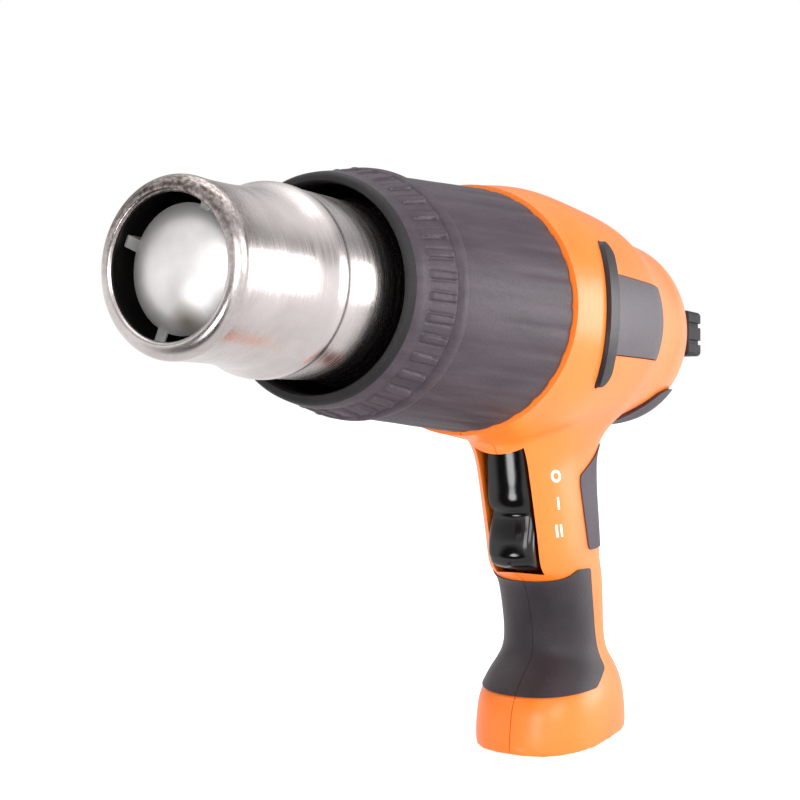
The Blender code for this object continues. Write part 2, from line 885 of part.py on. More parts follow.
def make_motor():
    """A small motor: can, magnets, armature, commutator, brushes and bushes."""
    steel = (0.60, 0.60, 0.61)
    can = (
        (MOTOR_REAR, MOTOR_RADIUS),
        (MOTOR_FRONT, MOTOR_RADIUS),
        (MOTOR_FRONT, 3.4),
        (MOTOR_FRONT + 0.8, 3.4),
        (MOTOR_FRONT + 0.8, MOTOR_RADIUS - 0.8),
        (MOTOR_REAR, MOTOR_RADIUS - 0.8),
    )
    paint(turned("motor_can", can, 32), steel, 0.35, 1.0)

    for word, side in (("left", -1), ("right", 1)):
        ring = ((180.0, 12.8), (154.0, 12.8), (154.0, 10.9), (180.0, 10.9))
        magnet = turned("motor_magnet_" + word, ring, 32)
        limits = sorted((side * 4.0, side * 15.0))
        keep(magnet, box("magnet_region", (150.0, 185.0), limits, (-15.0, 15.0)))
        paint(magnet, (0.08, 0.08, 0.085), 0.7)

    cap = ((188.4, MOTOR_RADIUS), (184.3, MOTOR_RADIUS), (184.3, 3.4), (188.4, 3.4))
    paint(turned("motor_end_cap", cap, 32), (0.85, 0.84, 0.80), 0.5)

    bush_bore = SHAFT_RADIUS + 0.1
    for name, front in (("front_bush", 149.0), ("rear_bush", 184.8)):
        bush = ((front + 3.6, 3.1), (front, 3.1), (front, bush_bore), (front + 3.6, bush_bore))
        paint(turned(name, bush, 24), (0.65, 0.48, 0.22), 0.4, 1.0)

    shaft = rod("motor_shaft", (130.6, 0, 0), (190.0, 0, 0), SHAFT_RADIUS, 24)
    set_origin(shaft, 160.0, 0.0, 0.0)
    paint(shaft, steel, 0.2, 1.0)

    bore = SHAFT_RADIUS + 0.15
    core = turned("armature_core", ((175.5, 10.4), (157.5, 10.4), (157.5, bore), (175.5, bore)), 30)
    slots = []
    for i in range(5):
        slot = box("slot", (150.0, 180.0), (5.0, 12.0), (-1.1, 1.1))
        slot.data.transform(turn_about_axis(72 * i))
        slots.append(slot)
    cut(core, group("core_slots", slots))
    paint(core, (0.35, 0.35, 0.37), 0.4, 1.0)

    for word, rear, front in (("front", 157.2, 153.4), ("rear", 179.6, 175.8)):
        middle = (rear + front) / 2
        bundle = ((rear, 7.6), (middle, 9.4), (front, 7.6), (front, 3.6), (rear, 3.6))
        paint(turned("armature_winding_" + word, bundle, 24), (0.62, 0.28, 0.12), 0.35, 1.0)

    segments = ((183.8, 3.1), (180.2, 3.1), (180.2, bore), (183.8, bore))
    paint(turned("commutator", segments, 24), (0.72, 0.42, 0.25), 0.3, 1.0)

    for word, side in (("left", -1), ("right", 1)):
        limits = sorted((side * 3.45, side * 7.5))
        brush = box("motor_brush_" + word, (180.9, 183.1), limits, (-1.5, 1.5))
        paint(brush, (0.10, 0.10, 0.10), 0.6)


def make_electronics():
    """The rectifier behind the motor."""
    board = rod("rectifier_board", (193.0, 0, 0), (194.6, 0, 0), 12.5, 32)
    for up in (-7.5, -3.8, 3.8, 7.5):
        join(board, rod("diode", (195.9, -3.0, up), (195.9, 3.0, up), 1.4, 12))
    paint(board, (0.35, 0.24, 0.12), 0.5)
    capacitor = box("noise_capacitor", (198.8, 206.0), (-8.0, 8.0), (-7.0, 7.0))
    bevel = capacitor.modifiers.new("soft_edges", "BEVEL")
    bevel.width = 0.8 * MM
    bevel.segments = 2
    paint(capacitor, (0.55, 0.50, 0.10), 0.4)


def rocker_outline():
    """The rocker's side view: a long upper lobe, a waist and a lower lobe that stands out."""
    front = (
        (-19.2, 11.0),
        (-16.0, 11.3),
        (-9.0, 11.9),
        (-3.5, 12.8),
        (-0.5, 12.5),
        (1.8, 11.4),
        (4.2, 11.8),
        (8.0, 13.4),
        (12.0, 15.7),
        (13.9, 16.7),
    )
    outline = [rocker_point(down, out) for down, out in front]
    for degrees in (50, 40, 30, 20):
        angle = math.radians(degrees)
        reach = ROCKER_REACH
        outline.append(rocker_point(reach * math.cos(angle), reach * math.sin(angle)))
    for down, out in ((10.0, 0.5), (4.0, -3.2), (-4.0, -3.2), (-10.0, 0.5)):
        outline.append(rocker_point(down, out))
    for degrees in (165, 158):
        angle = math.radians(degrees)
        outline.append(rocker_point(22.1 * math.cos(angle), 22.1 * math.sin(angle)))
    return outline


def make_switch():
    """The rocker in the handle's front, its pin, and the switch behind it."""
    along, up = ROCKER_PIVOT
    width = (-ROCKER_HALF_WIDTH, ROCKER_HALF_WIDTH)
    rocker = extruded("switch_rocker", rocker_outline(), width)
    set_origin(rocker, along, 0.0, up)
    bore = rod("rocker_bore", (along, -10.0, up), (along, 10.0, up), PIN_RADIUS + 0.15, 24)
    cut(rocker, bore)
    paint(rocker, (0.015, 0.015, 0.018), 0.12)

    pin = rod("rocker_pin", (along, -9.4, up), (along, 9.4, up), PIN_RADIUS, 24)
    paint(pin, (0.6, 0.6, 0.62), 0.3, 1.0)

    corners = ((-12.0, -6.2), (12.0, -6.2), (12.0, -23.5), (-12.0, -23.5))
    block = [rocker_point(*corner) for corner in corners]
    body = extruded("switch_body", block, (-9.2, 9.2))
    ears = [
        rocker_point(*corner)
        for corner in ((-4.5, -7.0), (4.5, -7.0), (3.6, 2.0), (0.0, 3.2), (-3.6, 2.0))
    ]
    for side in (-1, 1):
        limits = sorted((side * (ROCKER_HALF_WIDTH + 0.35), side * 9.1))
        join(body, extruded("switch_ear", ears, limits))
    cut(body, rod("ear_bore", (along, -12.0, up), (along, 12.0, up), PIN_RADIUS + 0.1, 24))
    for down in (-6.0, 6.0):
        low, high = down - 0.4, down + 0.4
        corners = ((low, -23.0), (high, -23.0), (high, -28.5), (low, -28.5))
        blade = [rocker_point(*corner) for corner in corners]
        for side in (-3.5, 3.5):
            join(body, extruded("terminal", blade, (side - 1.6, side + 1.6)))
    paint(body, (0.05, 0.05, 0.055), 0.45)


def make_cord_entry():
    """The inlet bush in the base, and the clamp above it."""
    bush = rod("cord_inlet", (INLET_ALONG, 0, -129.8), (INLET_ALONG, 0, -124.8), 6.0, 20)
    join(bush, rod("inlet_flange", (INLET_ALONG, 0, -126.7), (INLET_ALONG, 0, -124.9), 8.2, 20))
    cut(bush, rod("inlet_bore", (INLET_ALONG, 0, -135), (INLET_ALONG, 0, -120), 4.0, 20))
    paint(bush, (0.03, 0.03, 0.035), 0.6)

    clamp = box("cord_clamp", (182.0, 185.0), (-9.2, 9.2), (-106.3, -100.7))
    saddle = rod("clamp_saddle", (INLET_ALONG, 0, -110), (INLET_ALONG, 0, -95), 6.5, 24)
    cut(clamp, saddle)
    for word, side in (("left", -7.0), ("right", 7.0)):
        screw = rod("clamp_screw_" + word, (180.2, side, -103.5), (181.7, side, -103.5), 2.1, 12)
        join(screw, rod("shank", (181.0, side, -103.5), (198.0, side, -103.5), 1.2, 10))
        paint(screw, (0.55, 0.55, 0.56), 0.35, 1.0)
        cut(clamp, rod("hole", (180.0, side, -103.5), (187.0, side, -103.5), 1.5, 12))
    paint(clamp, (0.10, 0.10, 0.11), 0.5)


def make_wires():
    """Leads from the cord's clamp to the switch, and from the switch to the heater."""
    colours = {"left": (0.10, 0.20, 0.50), "right": (0.30, 0.14, 0.06)}
    for word, side in (("left", -1), ("right", 1)):
        lower = rocker_point(6.0, -30.6)
        upper = rocker_point(-6.0, -30.6)
        supply = (
            (190.0, side * 2.2, -98.0),
            (192.5, side * 2.8, -86.0),
            (194.0, side * 3.3, -72.0),
            (lower[0] + 0.8, side * 3.5, lower[1] - 6.0),
            (lower[0] + 0.2, side * 3.5, lower[1] - 0.6),
        )
        paint(wire("supply_wire_" + word, supply, 1.1), colours[word], 0.5)
        heater = (
            (upper[0] + 0.2, side * 3.5, upper[1] + 0.8),
            (upper[0] - 1.0, side * 3.5, upper[1] + 8.0),
            (188.0, side * 3.3, -25.0),
            (178.0, side * 3.1, -22.5),
            (164.0, side * 2.8, -23.5),
            (150.0, side * 2.3, -29.2),
            (130.0, side * 2.2, -29.9),
            (122.0, side * 2.2, -26.3),
            (117.8, side * 2.2, -21.0),
        )
        paint(wire("heater_wire_" + word, heater, 1.0), colours[word], 0.5)


def main():
    clear_scene()
    new_collection("heat_gun")
    new_collection("cutters")
    recesses = make_inlays()
    make_housing(recesses)
    make_housing_screws()
    make_rear_bumper()
    make_heat_shroud()
    screw_holes = make_nozzle()
    make_deflector()
    make_heater()
    make_air_path(screw_holes)
    make_motor()
    make_electronics()
    make_switch()
    make_cord_entry()
    make_wires()


main()
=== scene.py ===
"""Studio scene of a hand-held hot-air gun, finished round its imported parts.

Distances are in millimetres in the gun's own terms: "along" is behind the widest circle of the
nozzle's rim, "side" is to the right of the middle plane and "up" is above the nozzle's axis. at() turns
them into the scene's metres.
"""

import json
import math

import bmesh
import bpy
from bpy.props import FloatProperty, FloatVectorProperty, IntProperty, PointerProperty
from mathutils import Matrix, Vector
from mathutils.bvhtree import BVHTree


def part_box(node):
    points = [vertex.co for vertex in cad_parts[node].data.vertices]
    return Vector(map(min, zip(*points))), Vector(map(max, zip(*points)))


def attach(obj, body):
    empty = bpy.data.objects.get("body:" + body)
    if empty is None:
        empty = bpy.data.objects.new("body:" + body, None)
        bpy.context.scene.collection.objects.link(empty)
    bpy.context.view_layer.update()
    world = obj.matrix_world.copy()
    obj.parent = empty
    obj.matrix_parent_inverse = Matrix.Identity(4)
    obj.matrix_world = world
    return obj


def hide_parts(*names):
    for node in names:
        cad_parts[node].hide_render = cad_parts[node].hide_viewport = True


bl_info = {
    "name": "Hot-air gun studio",
    "version": (1, 0, 0),
    "blender": (4, 5, 0),
    "location": "3D View > Sidebar > Hot-air gun",
    "description": "Finishes a hot-air gun's visible pieces and lights them",
    "category": "Object",
}

MM = 0.001
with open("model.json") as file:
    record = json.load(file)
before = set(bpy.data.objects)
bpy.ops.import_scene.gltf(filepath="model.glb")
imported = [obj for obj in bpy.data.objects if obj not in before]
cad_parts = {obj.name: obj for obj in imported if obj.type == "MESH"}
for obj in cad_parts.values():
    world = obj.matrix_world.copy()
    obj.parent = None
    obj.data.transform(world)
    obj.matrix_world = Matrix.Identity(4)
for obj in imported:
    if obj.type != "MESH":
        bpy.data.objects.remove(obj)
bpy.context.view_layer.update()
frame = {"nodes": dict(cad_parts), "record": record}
NOZZLE_LOW, NOZZLE_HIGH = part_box("nozzle_tube")
LIP = 2.5  # how far the rim rolls forward of its widest circle
TIP = Vector((NOZZLE_LOW.x + LIP * MM, 0.0, (NOZZLE_LOW.z + NOZZLE_HIGH.z) / 2))
BASE_UP = -TIP.z / MM  # the handle's base

# The housing's barrel: along, half width, half height.
BARREL = (
    (107.0, 34.6, 34.6), (120.6, 34.6, 34.6), (128.0, 35.6, 35.6), (136.0, 36.7, 36.7),
    (144.0, 37.2, 37.2), (160.0, 36.9, 36.9), (180.0, 36.1, 36.1), (190.0, 34.7, 34.7),
    (200.0, 33.2, 33.2), (212.0, 32.0, 32.0), (222.0, 31.2, 31.5), (232.0, 29.2, 31.6),
    (242.0, 26.6, 30.6), (250.0, 24.0, 28.0), (256.0, 20.6, 23.6), (258.5, 17.5, 19.5),
)
BARREL_ROOM = (
    (100.0, 28.7, 28.7), (123.0, 28.7, 28.7), (126.0, 32.0, 32.0), (140.0, 33.4, 33.4),
    (180.0, 32.6, 32.6), (200.0, 29.9, 29.9), (222.0, 28.1, 28.4), (232.0, 26.1, 28.5),
    (242.0, 23.4, 27.2), (250.0, 20.4, 24.2), (255.0, 16.0, 18.5),
)
# The handle: up, front edge, rear edge, half width. It flares into the barrel at its top.
HANDLE = (
    (-22.0, 134.0, 222.0, 27.0), (-28.0, 137.0, 213.5, 22.6), (-33.0, 139.8, 206.6, 18.4),
    (-38.0, 142.2, 203.0, 15.6), (-43.0, 144.6, 201.4, 14.6), (-52.0, 148.0, 200.8, 14.5),
    (-64.0, 151.8, 202.3, 14.5), (-75.0, 155.3, 203.6, 14.5), (-80.0, 163.2, 203.8, 14.5),
    (-88.0, 167.2, 203.8, 14.5), (-98.0, 169.8, 203.8, 14.6), (-104.0, 168.5, 205.0, 15.4),
    (-110.0, 160.5, 210.5, 17.8), (-116.0, 154.5, 214.5, 19.4), (-124.0, 152.5, 216.5, 20.0),
    (-130.0, 152.0, 217.0, 20.0),
)
HANDLE_POWER = 2.4  # squareness of its section
WALL = 3.0
COLLAR_RADIUS = 30.7

ROCKER_PIVOT = (162.6, -53.8)
ROCKER_RAKE = math.radians(15.5)
ROCKER_REACH = 22.6
ROCKER_HALF_WIDTH = 7.3
ROCKER_PLAY = 0.6  # between its sides and its window

ARC_CENTRE = (172.2, -0.8)  # of the curved bar on each side, along and up
ARC_RADIUS = 33.2
ARC_HALF_WIDTH = 2.8
BAR_HEIGHT = 1.3  # how far it stands proud

# Side views of the inlays: along, up.
GRIP = (
    (140, -80), (161, -80), (167, -78.6), (171.5, -76.2), (180, -76.6), (183, -92), (185.5, -108),
    (176, -112.5), (140, -114),
)
REAR_PAD = (
    (215, -35), (204, -36.4), (191.5, -39.6), (172.2, -47.4), (171.8, -50), (178.6, -70),
    (180, -71), (215, -71),
)
FOOT = ((213, -42), (213.5, -29), (222, -22), (231, -20.4), (268, -20.4), (268, -42))
INLAY_GAP = 0.3
PAD_CORNER = 1.2
GROOVE_DEPTH = 0.8  # of the line between the shells
TOUCH = 0.003  # between each shell and the middle plane, so that they touch and don't overlap
STRAP_LEAN = 24.0  # degrees between the deflector's straps and the upright

# Housing screws: along, up, and where the surface lies to the right.
SCREWS = (
    (197.0, 23.0, 18.6), (235.0, 13.5, 22.0), (235.0, -14.0, 21.8), (176.0, -31.0, 14.5),
    (168.0, -118.0, 13.4), (202.0, -118.0, 13.4),
)
BOSS_RADIUS, SINK_RADIUS, BORE_RADIUS = 4.6, 3.5, 1.8
VENTS = (11.8, 15, 18.2, -11.8, -15, -18.2)  # heights of the slots in the rear end


def at(along, side, up):
    """The place in the scene of a point given in the gun's own terms."""
    return TIP + Vector((along, side, up)) * MM


def shift(along=0.0, side=0.0, up=0.0):
    return Matrix.Translation(at(along, side, up))


# ---- Meshes ----


def smooth(rows, spans=4):
    """Rows of numbers with more rows between them, on curves through them all."""
    ends = [rows[0], *rows, rows[-1]]
    finer = []
    for before, start, end, after in zip(ends, ends[1:], ends[2:], ends[3:]):
        for i in range(spans):
            t = i / spans
            finer.append(
                tuple(
                    b
                    + ((c - a) * t + (2 * a - 5 * b + 4 * c - d) * t**2 + (3 * (b - c) + d - a) * t**3)
                    / 2
                    for a, b, c, d in zip(before, start, end, after)
                )
            )
    finer.append(tuple(rows[-1]))
    return finer


def sweep(bm, edges, placings):
    """Pulls a ring of edges from placing to placing and closes both ends."""
    bmesh.ops.holes_fill(bm, edges=edges, sides=0)
    for before, after in zip(placings, placings[1:]):
        grown = bmesh.ops.extrude_edge_only(bm, edges=edges)["geom"]
        edges = [item for item in grown if isinstance(item, bmesh.types.BMEdge)]
        verts = [item for item in grown if isinstance(item, bmesh.types.BMVert)]
        bmesh.ops.transform(bm, matrix=after @ before.inverted(), verts=verts)
    bmesh.ops.holes_fill(bm, edges=edges, sides=0)


def barrel(stations, steps=96, spans=4):
    """The barrel's closed shape through its stations."""
    bm = bmesh.new()
    placings = [
        shift(along) @ Matrix.Diagonal((1.0, half_width * MM, half_height * MM, 1.0))
        for along, half_width, half_height in smooth(stations, spans)
    ]
    bmesh.ops.create_circle(
        bm, segments=steps, radius=1.0, matrix=placings[0] @ Matrix.Rotation(math.pi / 2, 4, "Y")
    )
    sweep(bm, bm.edges[:], placings)
    return outwards(bm)


def handle(stations, grow=0.0, steps=96, spans=4):
    """The handle's closed shape through its stations, grown by a distance."""
    bm = bmesh.new()
    bmesh.ops.create_circle(bm, segments=steps, radius=1.0)
    for vert in bm.verts:
        for axis in (0, 1):
            vert.co[axis] = math.copysign(abs(vert.co[axis]) ** (2 / HANDLE_POWER), vert.co[axis])
    placings = []
    for up, front, rear, half_width in smooth(stations, spans):
        half_depth = ((rear - front) / 2 + grow) * MM
        size = Matrix.Diagonal((half_depth, (half_width + grow) * MM, 1.0, 1.0))
        placings.append(shift((front + rear) / 2, 0.0, up) @ size)
    bmesh.ops.transform(bm, matrix=placings[0], verts=bm.verts)
    sweep(bm, bm.edges[:], placings)
    return outwards(bm)


def outwards(bm):
    """Turns a closed shape's faces outwards."""
    bmesh.ops.recalc_face_normals(bm, faces=bm.faces)
    if bm.calc_volume(signed=True) < 0:
        bmesh.ops.reverse_faces(bm, faces=bm.faces)
    return bm


def spun(profile, steps, closed=True):
    """A shape turned about the nozzle's axis, from a profile of (along, radius) points."""
    bm = bmesh.new()
    verts = [bm.verts.new(at(along, radius, 0.0)) for along, radius in profile]
    edges = [bm.edges.new(pair) for pair in zip(verts, verts[1:])]
    if closed:
        edges.append(bm.edges.new((verts[-1], verts[0])))
    bmesh.ops.spin(
        bm,
        geom=verts + edges,
        cent=TIP,
        axis=(1.0, 0.0, 0.0),
        angle=2 * math.pi,
        steps=steps,
        use_merge=True,
    )
    bmesh.ops.remove_doubles(bm, verts=bm.verts, dist=0.000002)
    return outwards(bm)


def block(along, side, up, edge=0.0, segments=3):
    """A box between limits, with rounded edges."""
    bm = bmesh.new()
    low, high = at(along[0], side[0], up[0]), at(along[1], side[1], up[1])
    size = Matrix.Diagonal((*(high - low), 1.0))
    bmesh.ops.create_cube(bm, size=1.0, matrix=Matrix.Translation((low + high) / 2) @ size)
    round_edges(bm, bm.edges[:], edge, segments)
    return bm


def round_edges(bm, edges, width, segments=3):
    if width > 0:
        bmesh.ops.bevel(
            bm,
            geom=edges,
            offset=width * MM,
            offset_type="OFFSET",
            affect="EDGES",
            segments=segments,
            profile=0.5,
            material=-1,
            clamp_overlap=True,
        )


def post(start, end, radius, steps=32):
    """A round bar between two points."""
    first, last = at(*start), at(*end)
    span = last - first
    turn = Vector((0, 0, 1)).rotation_difference(span).to_matrix().to_4x4()
    bm = bmesh.new()
    bmesh.ops.create_cone(
        bm,
        cap_ends=True,
        segments=steps,
        radius1=radius * MM,
        radius2=radius * MM,
        depth=span.length,
        matrix=Matrix.Translation((first + last) / 2) @ turn,
    )
    return bm


def slab(outline, side, corner=0.0, grow=0.0):
    """A side view given depth, with its corners rounded and its outline grown."""
    bm = bmesh.new()
    bm.faces.new([bm.verts.new(at(along, side[0], up)) for along, up in outline])
    if corner:
        bmesh.ops.bevel(
            bm,
            geom=bm.verts[:],
            offset=corner * MM,
            offset_type="OFFSET",
            affect="VERTICES",
            segments=4,
            profile=0.5,
            material=-1,
            clamp_overlap=True,
        )
    if grow:
        bmesh.ops.inset_region(
            bm, faces=bm.faces[:], thickness=grow * MM, use_even_offset=True, use_outset=True
        )
        bmesh.ops.dissolve_faces(bm, faces=bm.faces[:])
    grown = bmesh.ops.extrude_face_region(bm, geom=bm.faces[:])["geom"]
    moved = [item for item in grown if isinstance(item, bmesh.types.BMVert)]
    bmesh.ops.translate(bm, vec=(0.0, (side[1] - side[0]) * MM, 0.0), verts=moved)
    return outwards(bm)


def gathered(shapes):
    """One mesh of several separate shapes."""
    whole = bmesh.new()
    for shape in shapes:
        mesh = bpy.data.meshes.new("gathered")
        shape.to_mesh(mesh)
        shape.free()
        whole.from_mesh(mesh)
        bpy.data.meshes.remove(mesh)
    return whole


def helper(bm):
    """An object that lasts only while its modifiers work."""
    mesh = bpy.data.meshes.new("helper")
    bm.to_mesh(mesh)
    obj = bpy.data.objects.new("helper", mesh)
    bpy.context.scene.collection.objects.link(obj)
    return obj


def settled(obj, others=()):
    """The mesh that an object's modifiers leave. The object and its helpers are then removed."""
    graph = bpy.context.evaluated_depsgraph_get()
    graph.update()
    mesh = bpy.data.meshes.new_from_object(obj.evaluated_get(graph))
    bm = bmesh.new()
    bm.from_mesh(mesh)
    for item in (obj, *others):
        used = item.data
        bpy.data.objects.remove(item)
        bpy.data.meshes.remove(used)
    bpy.data.meshes.remove(mesh)
    if not bm.faces:
        raise RuntimeError("a solid was lost in a cut")
    return bm


def carve(bm, steps):
    """Cuts, joins or keeps with other solids, in order, and uses them all up."""
    obj = helper(bm)
    bm.free()
    tools = []
    for operation, shape in steps:
        tool = helper(shape)
        shape.free()
        tools.append(tool)
        modifier = obj.modifiers.new(operation, "BOOLEAN")
        modifier.operation = operation
        modifier.solver = "MANIFOLD"
        modifier.object = tool
    return settled(obj, tools)


def fused(bm, voxel):
    """One even skin round everything in a mesh."""
    obj = helper(bm)
    bm.free()
    remesh = obj.modifiers.new("fuse", "REMESH")
    remesh.mode = "VOXEL"
    remesh.voxel_size = voxel * MM
    return settled(obj)


def skin(body, distance):
    """A copy of the body's surface moved out by a distance."""
    copy = body.copy()
    copy.normal_update()
    for vert in copy.verts:
        vert.co += vert.normal * (distance * MM)
    return copy


def inlay(body, region, proud, sunk):
    """What a region holds between a height over the body's surface and a depth under it."""
    return carve(skin(body, proud), [("INTERSECT", region), ("DIFFERENCE", skin(body, -sunk))])


def recess(body, region, depth):
    """The room that a region needs down to a depth under the body's surface."""
    return carve(region, [("DIFFERENCE", skin(body, -depth))])


def relaxed(bm, verts, times):
    """Evens out part of a surface."""
    for _ in range(times):
        bmesh.ops.smooth_vert(
            bm, verts=verts, factor=0.5, use_axis_x=True, use_axis_y=True, use_axis_z=True
        )


def inner_faces(bm, least):
    """Faces that look towards the nozzle's axis by at least so much, and where they lie along it."""
    for face in bm.faces:
        offset = face.calc_center_median() - TIP
        if -face.normal.dot(Vector((0.0, offset.y, offset.z)).normalized()) > least:
            yield face, offset.x / MM


def piece(name, bm, body, nodes, slot, *materials, sharp=30.0):
    """A finished piece that rides on a body and stands for CAD nodes."""
    mesh = bpy.data.meshes.new(name)
    bm.to_mesh(mesh)
    bm.free()
    for material in materials:
        mesh.materials.append(material)
    mesh.shade_smooth()
    mesh.set_sharp_from_angle(angle=math.radians(sharp))
    obj = bpy.data.objects.new(name, mesh)
    bpy.context.scene.collection.objects.link(obj)
    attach(obj, body)
    if nodes:
        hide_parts(*nodes)
    return obj


# ---- Materials ----


def linear(code):
    """An sRGB hex colour as linear red, green, blue and alpha."""
    parts = [int(code[i : i + 2], 16) / 255 for i in (1, 3, 5)]
    return (*(c / 12.92 if c <= 0.04045 else ((c + 0.055) / 1.055) ** 2.4 for c in parts), 1.0)


def add(tree, kind, settings=None, links=None):
    """Adds a node and returns its outputs. Settings are properties or inputs, and links feed inputs."""
    node = tree.nodes.new(kind)
    for name, value in (settings or {}).items():
        if isinstance(name, str) and hasattr(node, name):
            setattr(node, name, value)
        else:
            node.inputs[name].default_value = value
    for name, source in (links or {}).items():
        tree.links.new(source, node.inputs[name])
    return node.outputs


def grain_of(size_mm, detail):
    """Settings for a noise whose blotches are of a real size."""
    return {"Scale": 1.0 / (size_mm * MM), "Detail": detail, "Roughness": 0.55}


def span(low, high, start=0.3, end=0.7):
    """Settings that spread a 0 to 1 pattern, or another range, between two values."""
    return {"From Min": start, "From Max": end, "To Min": low, "To Max": high}


def blend_of(first, second=(1.0, 1.0, 1.0)):
    """Settings for a mix of two colours, each a hex code or linear red, green and blue."""
    first, second = (linear(c) if isinstance(c, str) else c for c in (first, second))
    return {"data_type": "RGBA", 6: (*first[:3], 1.0), 7: (*second[:3], 1.0)}


def blank(name):
    """A material with nothing in it yet, and its Object coordinates."""
    material = bpy.data.materials.new(name)
    material.use_nodes = True
    tree = material.node_tree
    tree.nodes.clear()
    return material, tree, add(tree, "ShaderNodeTexCoord")["Object"]


def stretched(tree, place, along, side, up):
    """Coordinates on which a pattern is drawn out along each axis."""
    scale = (1.0 / along, 1.0 / side, 1.0 / up)
    return add(tree, "ShaderNodeMapping", {"Scale": scale}, {"Vector": place})["Vector"]


def clouded(tree, place, size_mm, detail, dark, light):
    """A colour that drifts between two in soft blotches of a real size."""
    cloud = add(tree, "ShaderNodeTexNoise", grain_of(size_mm, detail), {"Vector": place})["Fac"]
    share = add(tree, "ShaderNodeMapRange", span(0.0, 1.0), {"Value": cloud})["Result"]
    return add(tree, "ShaderNodeMix", blend_of(dark, light), {0: share})[2]


def surfaced(tree, settings, links):
    """Ends a material with its shader and its output."""
    shader = add(tree, "ShaderNodeBsdfPrincipled", settings, links)
    add(tree, "ShaderNodeOutputMaterial", links={"Surface": shader["BSDF"]})


def grained(
    name,
    dark,
    light,
    roughness,
    grain=0.4,
    bump=0.08,
    metallic=0.0,
    blotch=14.0,
    stretch=(1.0, 1.0, 1.0),
    **shader_settings,
):
    """A material with a fine surface grain of a real size and slow changes of colour and gloss."""
    material, tree, place = blank(name)
    colour = clouded(tree, stretched(tree, place, *stretch), blotch, 3.0, dark, light)
    fine = add(tree, "ShaderNodeTexNoise", grain_of(grain, 2.0), {"Vector": place})["Fac"]
    limits = span(roughness * 0.88, roughness * 1.12)
    gloss = add(tree, "ShaderNodeMapRange", limits, {"Value": fine})["Result"]
    depth = {"Strength": bump, "Distance": grain * 0.25 * MM}
    relief = add(tree, "ShaderNodeBump", depth, {"Height": fine})["Normal"]
    links = {"Base Color": colour, "Roughness": gloss, "Normal": relief}
    surfaced(tree, {"Metallic": metallic, **shader_settings}, links)
    return material


def orange_nylon(colours):
    """Moulded nylon, spark-eroded mould: a satin skin with a faint grain and soft highlights."""
    settings = {"IOR": 1.53, "Subsurface Weight": 0.06, "Subsurface Scale": 2.0 * MM}
    tones = (colours.housing_dark, colours.housing)
    return grained("satin_orange_nylon", *tones, 0.35, 0.5, 0.10, blotch=30.0, **settings)


def shroud_nylon(colours):
    """Glass-filled heat-resistant nylon: matt charcoal, fine sparkle of glass and faint flow lines."""
    tones = [[c * share for c in colours.shroud] for share in (0.72, 1.25)]
    settings = {"blotch": 3.0, "stretch": (14.0, 1.0, 1.0), "IOR": 1.55, "Specular IOR Level": 0.42}
    return grained("matt_glass_filled_nylon", *tones, 0.54, 0.5, 0.42, **settings)


def brushed_stainless(colours):
    """Stainless sheet polished round its axis: tight rings of fine scratches, and a brown band behind the
    rim that is partly heat-tint marks and partly a painted dark reflection, strongest at the top.
    """
    material, tree, place = blank("brushed_stainless_steel")
    noises = []
    for size, detail, round_axis in ((0.25, 3.0, 60.0), (0.7, 4.0, 22.0), (0.4, 4.0, 3.0)):
        drawn = stretched(tree, place, 1.0, round_axis, round_axis)
        noises.append(add(tree, "ShaderNodeTexNoise", grain_of(size, detail), {"Vector": drawn})["Fac"])
    rings, hairs, grime = noises

    axes = add(tree, "ShaderNodeSeparateXYZ", links={"Vector": place})
    # Mask of a mottled brown band just behind the rim, strongest at the top: partly heat-tint marks, partly
    # a painted dark reflection.
    rim_tint_and_reflection = None
    for value, limits in (
        (grime, span(0.35, 0.95, 0.35, 0.65)),
        (axes["X"], span(1.0, 0.0, TIP.x - 1.5 * MM, TIP.x + 9 * MM)),  # near the rim
        (axes["Z"], span(0.2, 1.0, TIP.z - 4 * MM, TIP.z + 13 * MM)),  # and mostly at its top
    ):
        share = add(tree, "ShaderNodeMapRange", limits, {"Value": value})["Result"]
        if rim_tint_and_reflection is not None:
            share = add(tree, "ShaderNodeMath", {"operation": "MULTIPLY"}, {0: rim_tint_and_reflection, 1: share})["Value"]
        rim_tint_and_reflection = share
    dull = [0.78 * c for c in colours.steel]
    metal = clouded(tree, place, 12.0, 3.0, dull, colours.steel)
    # 5c4a42 is the band's brown: heat tint together with a painted dark reflection.
    shade = add(tree, "ShaderNodeMix", blend_of(dull, "#5c4a42"), {0: rim_tint_and_reflection, 6: metal})[2]

    depth = {"Strength": 0.22, "Distance": 0.06 * MM}
    relief = add(tree, "ShaderNodeBump", depth, {"Height": rings})["Normal"]
    depth = {"Strength": 0.12, "Distance": 0.12 * MM}
    relief = add(tree, "ShaderNodeBump", depth, {"Height": hairs, "Normal": relief})["Normal"]
    gloss = add(tree, "ShaderNodeMapRange", span(0.20, 0.32), {"Value": hairs})["Result"]
    surfaced(tree, {"Metallic": 1.0}, {"Base Color": shade, "Roughness": gloss, "Normal": relief})
    return material


